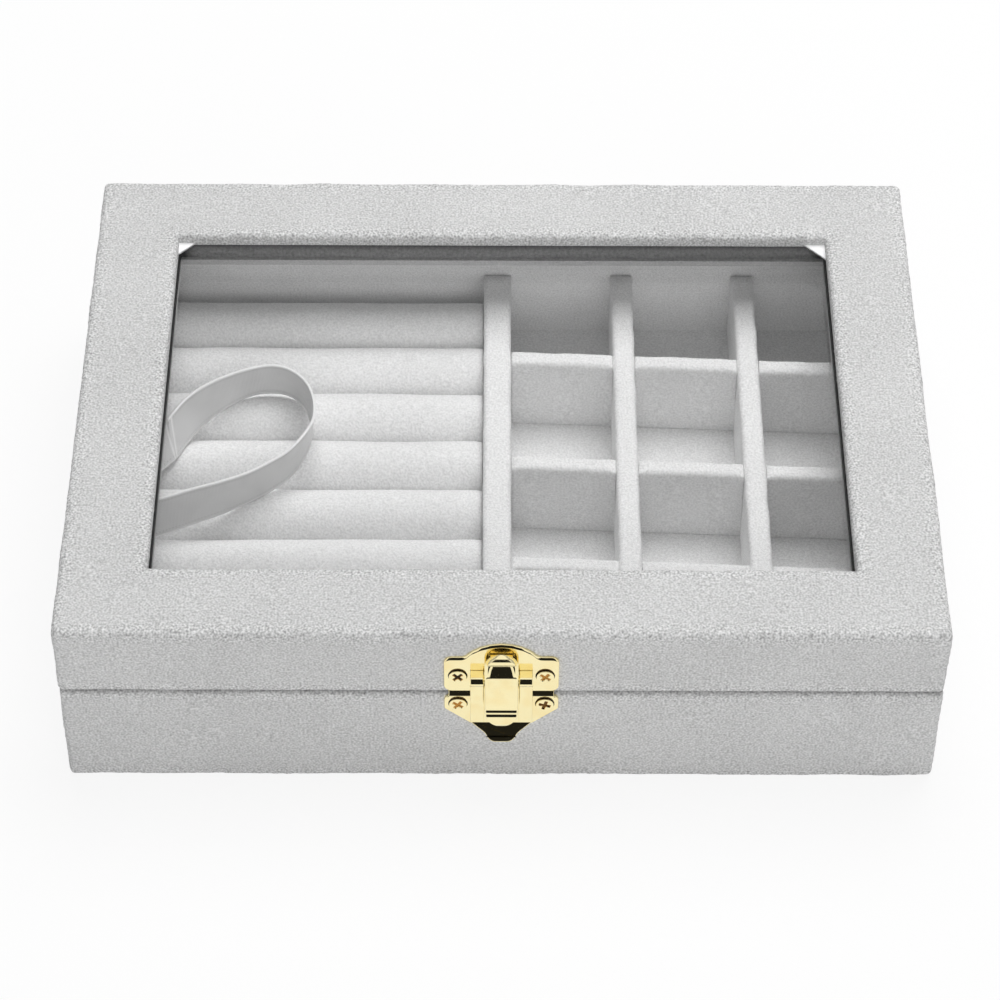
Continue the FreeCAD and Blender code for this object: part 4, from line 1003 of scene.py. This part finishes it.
def leverPiece():
    # sections stacked up the lever: a flat front between two side facets, each facet a quarter of a
    # superellipse, and a back that is hollowed between two cheeks; every size follows the height
    b = leverBill
    front = np.array(b["front"]) * mm
    bottom, top = front[0, 0], front[-1, 0]
    hollowLow, hollowHigh = b["hollow"]
    ends = [hollowLow - cutGap, hollowLow, hollowHigh, hollowHigh + cutGap]
    height = np.union1d(np.linspace(bottom, top, b["steps"]), np.concatenate([front[:, 0], ends]))[:, None]

    def along(label, unit=mm):
        table = np.array(b[label])
        return np.interp(height, table[:, 0] * mm, table[:, 1] * unit)

    frontOut = along("front")
    backOut = along("back")
    below = np.clip(bottom + b["corner"] - height, 0, b["corner"])
    above = np.clip(height - (top - b["half"]), 0, b["half"])
    half = b["half"] - b["corner"] + np.sqrt(b["corner"] ** 2 - below ** 2)
    half = np.where(above > 0, np.sqrt(np.maximum(b["half"] ** 2 - above ** 2, b["leastHalf"] ** 2)), half)
    wide = half - np.minimum(along("flat"), half - np.minimum(0.9 * half, b["leastFacet"]))
    fall = np.minimum(along("fall"), 0.9 * (frontOut - backOut))
    power = 2 / along("facet", 1)
    angle = np.linspace(0, np.pi / 2, b["cornerSteps"])[None]
    sideX = half - wide + wide * np.cos(angle) ** power
    sideOut = frontOut - fall + fall * np.sin(angle) ** power
    hollow = (height >= hollowLow) & (height <= hollowHigh)
    cheek = np.minimum(b["cheek"], 0.8 * half)
    deep = np.where(hollow, np.maximum(frontOut - b["sheet"], backOut), backOut)
    x = np.concatenate([sideX, -sideX[:, ::-1], -half, -cheek, -cheek, cheek, cheek, half], axis=1)
    out = np.concatenate([sideOut, sideOut[:, ::-1], backOut, backOut, deep, deep, backOut, backOut], axis=1)
    grid = np.stack([x, leverPivot[1] - out, np.broadcast_to(leverPivot[2] + height, x.shape)], -1)
    goldPiece("latchLever", [patch(grid, False, True, True)], "lever", "latch_lever")


latchScrews = {
    "radius": 2.0 * mm, "groove": 0.2 * mm, "side": 0.42 * mm, "rim": 0.08 * mm, "dome": 0.06 * mm,
    "armHalf": 0.36 * mm, "armReach": 1.35 * mm, "depth": 0.4 * mm, "slope": 0.09 * mm, "taper": 0.35,
    "shank": 0.8 * mm, "shankLength": 4.6 * mm, "point": 1.0 * mm, "pointRadius": 0.1 * mm,
    "grooveFoot": 0.012 * mm, "underHead": 0.05 * mm, "aroundSteps": 80, "faceSteps": 40, "rimSteps": 5,
}
hingeScrews = dict(latchScrews, radius=1.6 * mm, groove=0.1 * mm, dome=0.15 * mm, armHalf=0.24 * mm,
                   armReach=0.95 * mm)
# turn of each cross and how dark it is painted, left to right
screwCrosses = {
    "catchScrews": ((44, 1.0), (38, 0.55)),
    "keeperScrews": ((36, 0.55), (17, 0.9)),
    "baseHingeScrews": ((12, 0.8), (70, 0.7), (41, 0.9), (5, 0.8)),
    "lidHingeScrews": ((55, 0.7), (20, 0.9), (80, 0.8), (33, 0.7)),
}


def screwPatch(screw, x, z, out, turnDeg, crossDarkening, place):
    # a head with a straight side in a gap painted black as shade, a small round rim and a face that falls with the
    # square of the radius; a cross is cut into it, and each point keeps how dark it is painted
    rim = screw["rim"]
    foot = screw["grooveFoot"]
    faceRadius = screw["radius"] - rim
    grooveRadius = screw["radius"] + screw["groove"]
    side = [grooveRadius, screw["radius"], screw["radius"]]
    corner = np.linspace(0, np.pi / 2, screw["rimSteps"])
    inward = np.linspace(faceRadius, 0, screw["faceSteps"])[1:]
    radius = np.concatenate([side, faceRadius + rim * np.cos(corner), inward])[:, None]
    top = screw["side"] + rim
    shoulder = top - rim
    rise = np.concatenate([[foot, foot, shoulder - foot], shoulder + rim * np.sin(corner), 0 * inward + top])
    # painted shade: the side and the gap round the head are painted black
    shade = np.concatenate([np.ones(len(side)), 0 * corner, 0 * inward])[:, None]
    angle = np.linspace(0, 2 * np.pi, screw["aroundSteps"], endpoint=False)[None]
    height = rise[:, None] + screw["dome"] * np.clip(1 - (radius / faceRadius) ** 2, 0, 1)
    turn = math.radians(turnDeg)
    a = radius * np.cos(angle + turn)
    b = radius * np.sin(angle + turn)

    def arm(p, q):
        sideways = np.clip((screw["armHalf"] + screw["slope"] / 2 - np.abs(p)) / screw["slope"], 0, 1)
        lengthways = np.clip((screw["armReach"] + screw["slope"] - np.abs(q)) / (2 * screw["slope"]), 0, 1)
        return sideways * lengthways

    cross = np.maximum(arm(a, b), arm(b, a))
    height = height - cross * screw["depth"] * np.maximum(1 - screw["taper"] * radius / screw["armReach"], 0)
    head = place(x + radius * np.cos(angle), z + radius * np.sin(angle), out + height)
    tip = -screw["shankLength"]
    shank = np.array([(grooveRadius, 0), (screw["shank"], -screw["underHead"]),
                      (screw["shank"], tip + screw["point"]), (screw["pointRadius"], tip)])
    body = place(x + shank[:, :1] * np.cos(angle), z + shank[:, :1] * np.sin(angle),
                 np.broadcast_to(out + shank[:, 1:], (len(shank), angle.size)))
    recess = np.concatenate([np.zeros(body.shape[:2]), np.maximum(shade, crossDarkening * cross)])
    return patch(np.concatenate([body[::-1], head]), False, True, True), recess.ravel()


def screwPiece(name, node, body, screw, columns, sheet, place):
    low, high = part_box(node)
    up = (low.z + high.z) / 2
    made = [screwPatch(screw, x, up, sheet, turn, crossDarkening, place)
            for x, (turn, crossDarkening) in zip(columns, screwCrosses[name])]
    recess = np.concatenate([darkening for _, darkening in made])
    goldPiece(name, [head for head, _ in made], body, node, {"recess": recess})


catchPlatePiece()
keeperPlatePiece()
leverPiece()
for name, node, body in (("catchScrews", "catch_screws", "lid"), ("keeperScrews", "keeper_screws", "base")):
    low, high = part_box(node)
    column = high.x - (high.z - low.z) / 2
    screwPiece(name, node, body, latchScrews, (-column, column), catchPlate["sheet"], frontPlace)
print("latch made")


# Hinges

hingeLeaf = {
    "sheet": 0.8 * mm, "edge": 0.35 * mm, "corner": 1.5 * mm, "innerCorner": 0.1 * mm, "step": 0.5 * mm,
    "knuckle": 1.6 * mm, "bore": 0.72 * mm, "chamfer": 0.2 * mm, "gap": 0.15 * mm, "clear": 1.75 * mm,
    "thirds": 3, "knuckleSteps": 48,
}
# the rounded end of a pin: radius and place along it
hingePin = {"end": [(0.3 * mm, 0.0), (0.55 * mm, 0.06 * mm), (0.7 * mm, 0.25 * mm)], "steps": 32}
hingeY, hingeZ = next(j["pos_m"][1:] for j in frame["joints"] if j["child"] == "lid")


def aboutHinge(radial, up, x):
    return np.stack([x, hingeY + radial, hingeZ + up], -1)


def knuckle(start, end):
    # a rolled tube: outside with eased rims, then back through the bore
    h = hingeLeaf
    eased = h["knuckle"] - h["chamfer"]
    profile = [(h["bore"], start), (eased, start), (h["knuckle"], start + h["chamfer"]),
               (h["knuckle"], end - h["chamfer"]), (eased, end), (h["bore"], end)]
    return lathe(np.array(profile), h["knuckleSteps"], aboutHinge, tube=True)


def hingeLeafPiece(side, owner, sign):
    # the base leaf has the two outer knuckles and a notch for the lid's, and the lid leaf the middle one
    h = hingeLeaf
    node = f"{side}_hinge_{owner}_leaf"
    low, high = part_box(node)
    third = (high.x - low.x) / h["thirds"]
    left, right = low.x + third, high.x - third
    tail = low.z if owner == "base" else high.z
    near = hingeZ + sign * h["gap"]
    cut = hingeZ + sign * math.sqrt(h["clear"] ** 2 - (h["knuckle"] - h["sheet"]) ** 2)
    if owner == "base":
        corners = [(low.x, tail), (high.x, tail), (high.x, near), (right, near), (right, cut), (left, cut),
                   (left, near), (low.x, near)]
        knuckles = ((low.x, left), (right, high.x))
    else:
        left, right = left + h["gap"], right - h["gap"]
        corners = [(low.x, cut), (left, cut), (left, near), (right, near), (right, cut), (high.x, cut),
                   (high.x, tail), (low.x, tail)]
        knuckles = ((left, right),)
    radii = [h["corner"] if z == tail else h["innerCorner"] for _, z in corners]
    outline = roundedLine(corners, radii, h["step"], closed=True)
    patches = [prism(outline, 0, h["sheet"], hiddenRim, h["edge"], rearPlace)]
    patches += [knuckle(start, end) for start, end in knuckles]
    goldPiece(f"{side}Hinge{owner.title()}Leaf", patches, owner, node)


for side in ("left", "right"):
    hingeLeafPiece(side, "base", -1)
    hingeLeafPiece(side, "lid", 1)
    low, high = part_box(f"{side}_hinge_pin")
    pinEnd = np.array(hingePin["end"])
    profile = np.concatenate([pinEnd + [0, low.x], pinEnd[::-1] * [1, -1] + [0, high.x]])
    pin = makePiece(f"{side}HingePin", [lathe(profile, hingePin["steps"], aboutHinge)], goldPlate)
    fit(pin, "base", f"{side}_hinge_pin")
leafLow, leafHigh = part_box("right_hinge_base_leaf")
centre = (leafLow.x + leafHigh.x) / 2
for name, node, body in (("baseHingeScrews", "base_hinge_screws", "base"),
                         ("lidHingeScrews", "lid_hinge_screws", "lid")):
    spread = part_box(node)[1].x - hingeScrews["radius"] - centre
    columns = (-centre - spread, -centre + spread, centre - spread, centre + spread)
    screwPiece(name, node, body, hingeScrews, columns, hingeLeaf["sheet"], rearPlace)
print("hinges made")


# Studio

cameraView = {"yaw": 0.1203, "pitch": 47.005, "roll": 0.258, "distance": 0.82933,
              "target": (-0.00035, 0.0, 0.01326), "focalPixels": 3394.8, "imagePixels": 1000, "sensor": 36.0}
studio = {"ambient": 0.28, "aim": (0, 0.0, 0.03),
          "keyPower": 8.0, "keySize": 0.8, "keyPlace": (0.12, 0.31, 0.95),
          "fillPower": 6.4, "fillSize": 1.2, "fillPlace": (0.2, -1.2, 0.5),
          "floorHalf": 2.0, "floorDrop": 0.05 * mm, "floorTone": 0.9, "floorWhite": 0.87}
# sides of the studio that only polished metal and glass can see: away from the front face, up, half width
unlitFront = {"level": 0.015, "line": [(0.060, 0.0005, 0.05), (0.25, 0.0005, 0.15), (0.80, 0.10, 0.55),
                                       (1.00, 0.55, 0.95), (0.80, 1.05, 0.95), (0.35, 1.35, 0.80)]}
dimRear = {"level": 0.12, "line": [(-0.75, 1.30, 1.4), (-1.30, 0.90, 1.4), (-1.60, 0.40, 1.4),
                                   (-1.70, 0.0, 1.4)]}


def addCamera():
    v = cameraView
    yaw, pitch, roll = (math.radians(v[k]) for k in ("yaw", "pitch", "roll"))
    ahead = Vector((math.sin(yaw) * math.cos(pitch), math.cos(yaw) * math.cos(pitch), -math.sin(pitch)))
    right = Vector((math.cos(yaw), -math.sin(yaw), 0))
    up = right.cross(ahead)
    tiltRight = right * math.cos(roll) + up * math.sin(roll)
    tiltUp = up * math.cos(roll) - right * math.sin(roll)
    data = bpy.data.cameras.new("photoCamera")
    data.sensor_width = v["sensor"]
    data.lens = v["focalPixels"] / v["imagePixels"] * v["sensor"]
    data.clip_start = 0.01
    camera = addObject("photoCamera", data)
    turn = Matrix((tiltRight, tiltUp, -ahead)).transposed().to_4x4()
    camera.matrix_world = Matrix.Translation(Vector(v["target"]) - ahead * v["distance"]) @ turn
    bpy.context.scene.camera = camera


def addLamp(name, place, size, power):
    data = bpy.data.lights.new(name, "AREA")
    data.shape = "DISK"
    data.size = size
    data.energy = power
    lamp = addObject(name, data)
    way = Vector(studio["aim"]) - Vector(place)
    lamp.matrix_world = Matrix.Translation(place) @ way.to_track_quat("-Z", "Y").to_matrix().to_4x4()
    lamp.visible_glossy = False
    lamp.visible_transmission = False


def seenRay(tree):
    # 1 for what the camera, the metal and the glass look at
    ray = addNode(tree, "LightPath").outputs
    mirrored = maths(tree, "MAXIMUM", ray["Is Glossy Ray"], ray["Is Transmission Ray"])
    return maths(tree, "MAXIMUM", ray["Is Camera Ray"], mirrored)


def addWorld():
    world = bpy.data.worlds.new("studioWorld")
    world.use_nodes = True
    tree = world.node_tree
    strength = ramp(tree, seenRay(tree), 0.0, 1.0, studio["ambient"], 1.0)
    feed(tree, tree.nodes["Background"], {"Color": grey(1), "Strength": strength})
    bpy.context.scene.world = world


def addFloor():
    # a white table that keeps a faint shadow
    material, tree, surface = newFinish("whiteTable")
    feed(tree, surface, {"Base Color": grey(studio["floorTone"]), "Roughness": 1.0,
                         "Specular IOR Level": 0.0})
    glow = addNode(tree, "Emission", {"Color": grey(1), "Strength": 1.0})
    share = maths(tree, "MULTIPLY", seenRay(tree), studio["floorWhite"])
    show(tree, addNode(tree, "MixShader", {0: share, 1: surface.outputs[0], 2: glow.outputs[0]}))
    line = np.linspace(-1, 1, 5) * studio["floorHalf"]
    plan = np.stack(np.broadcast_arrays(line[:, None], line[None], -studio["floorDrop"]), -1)
    makePiece("floor", [patch(plan)], material)


def addGlossPanel(name, panel):
    material, tree, _ = newFinish(name)
    depth = addNode(tree, "LightPath").outputs["Ray Depth"]
    level = ramp(tree, depth, 1.0, 2.0, panel["level"], 1.0)
    show(tree, addNode(tree, "Emission", {"Color": grey(1), "Strength": level}))
    away, up, half = np.array(panel["line"]).T
    across = np.linspace(-1, 1, 9)[:, None] * half
    grid = np.stack(np.broadcast_arrays(across, frontFace - away, up), -1)
    flag = makePiece(name, [patch(grid)], material)
    flag.visible_camera = False
    flag.visible_diffuse = False
    flag.visible_transmission = False
    flag.visible_shadow = False


addCamera()
addWorld()
addFloor()
addGlossPanel("unlitFront", unlitFront)
addGlossPanel("dimRear", dimRear)
addLamp("keySoftbox", studio["keyPlace"], studio["keySize"], studio["keyPower"])
addLamp("frontFill", studio["fillPlace"], studio["fillSize"], studio["fillPower"])
bpy.context.scene.view_settings.view_transform = "Standard"
print("studio set")
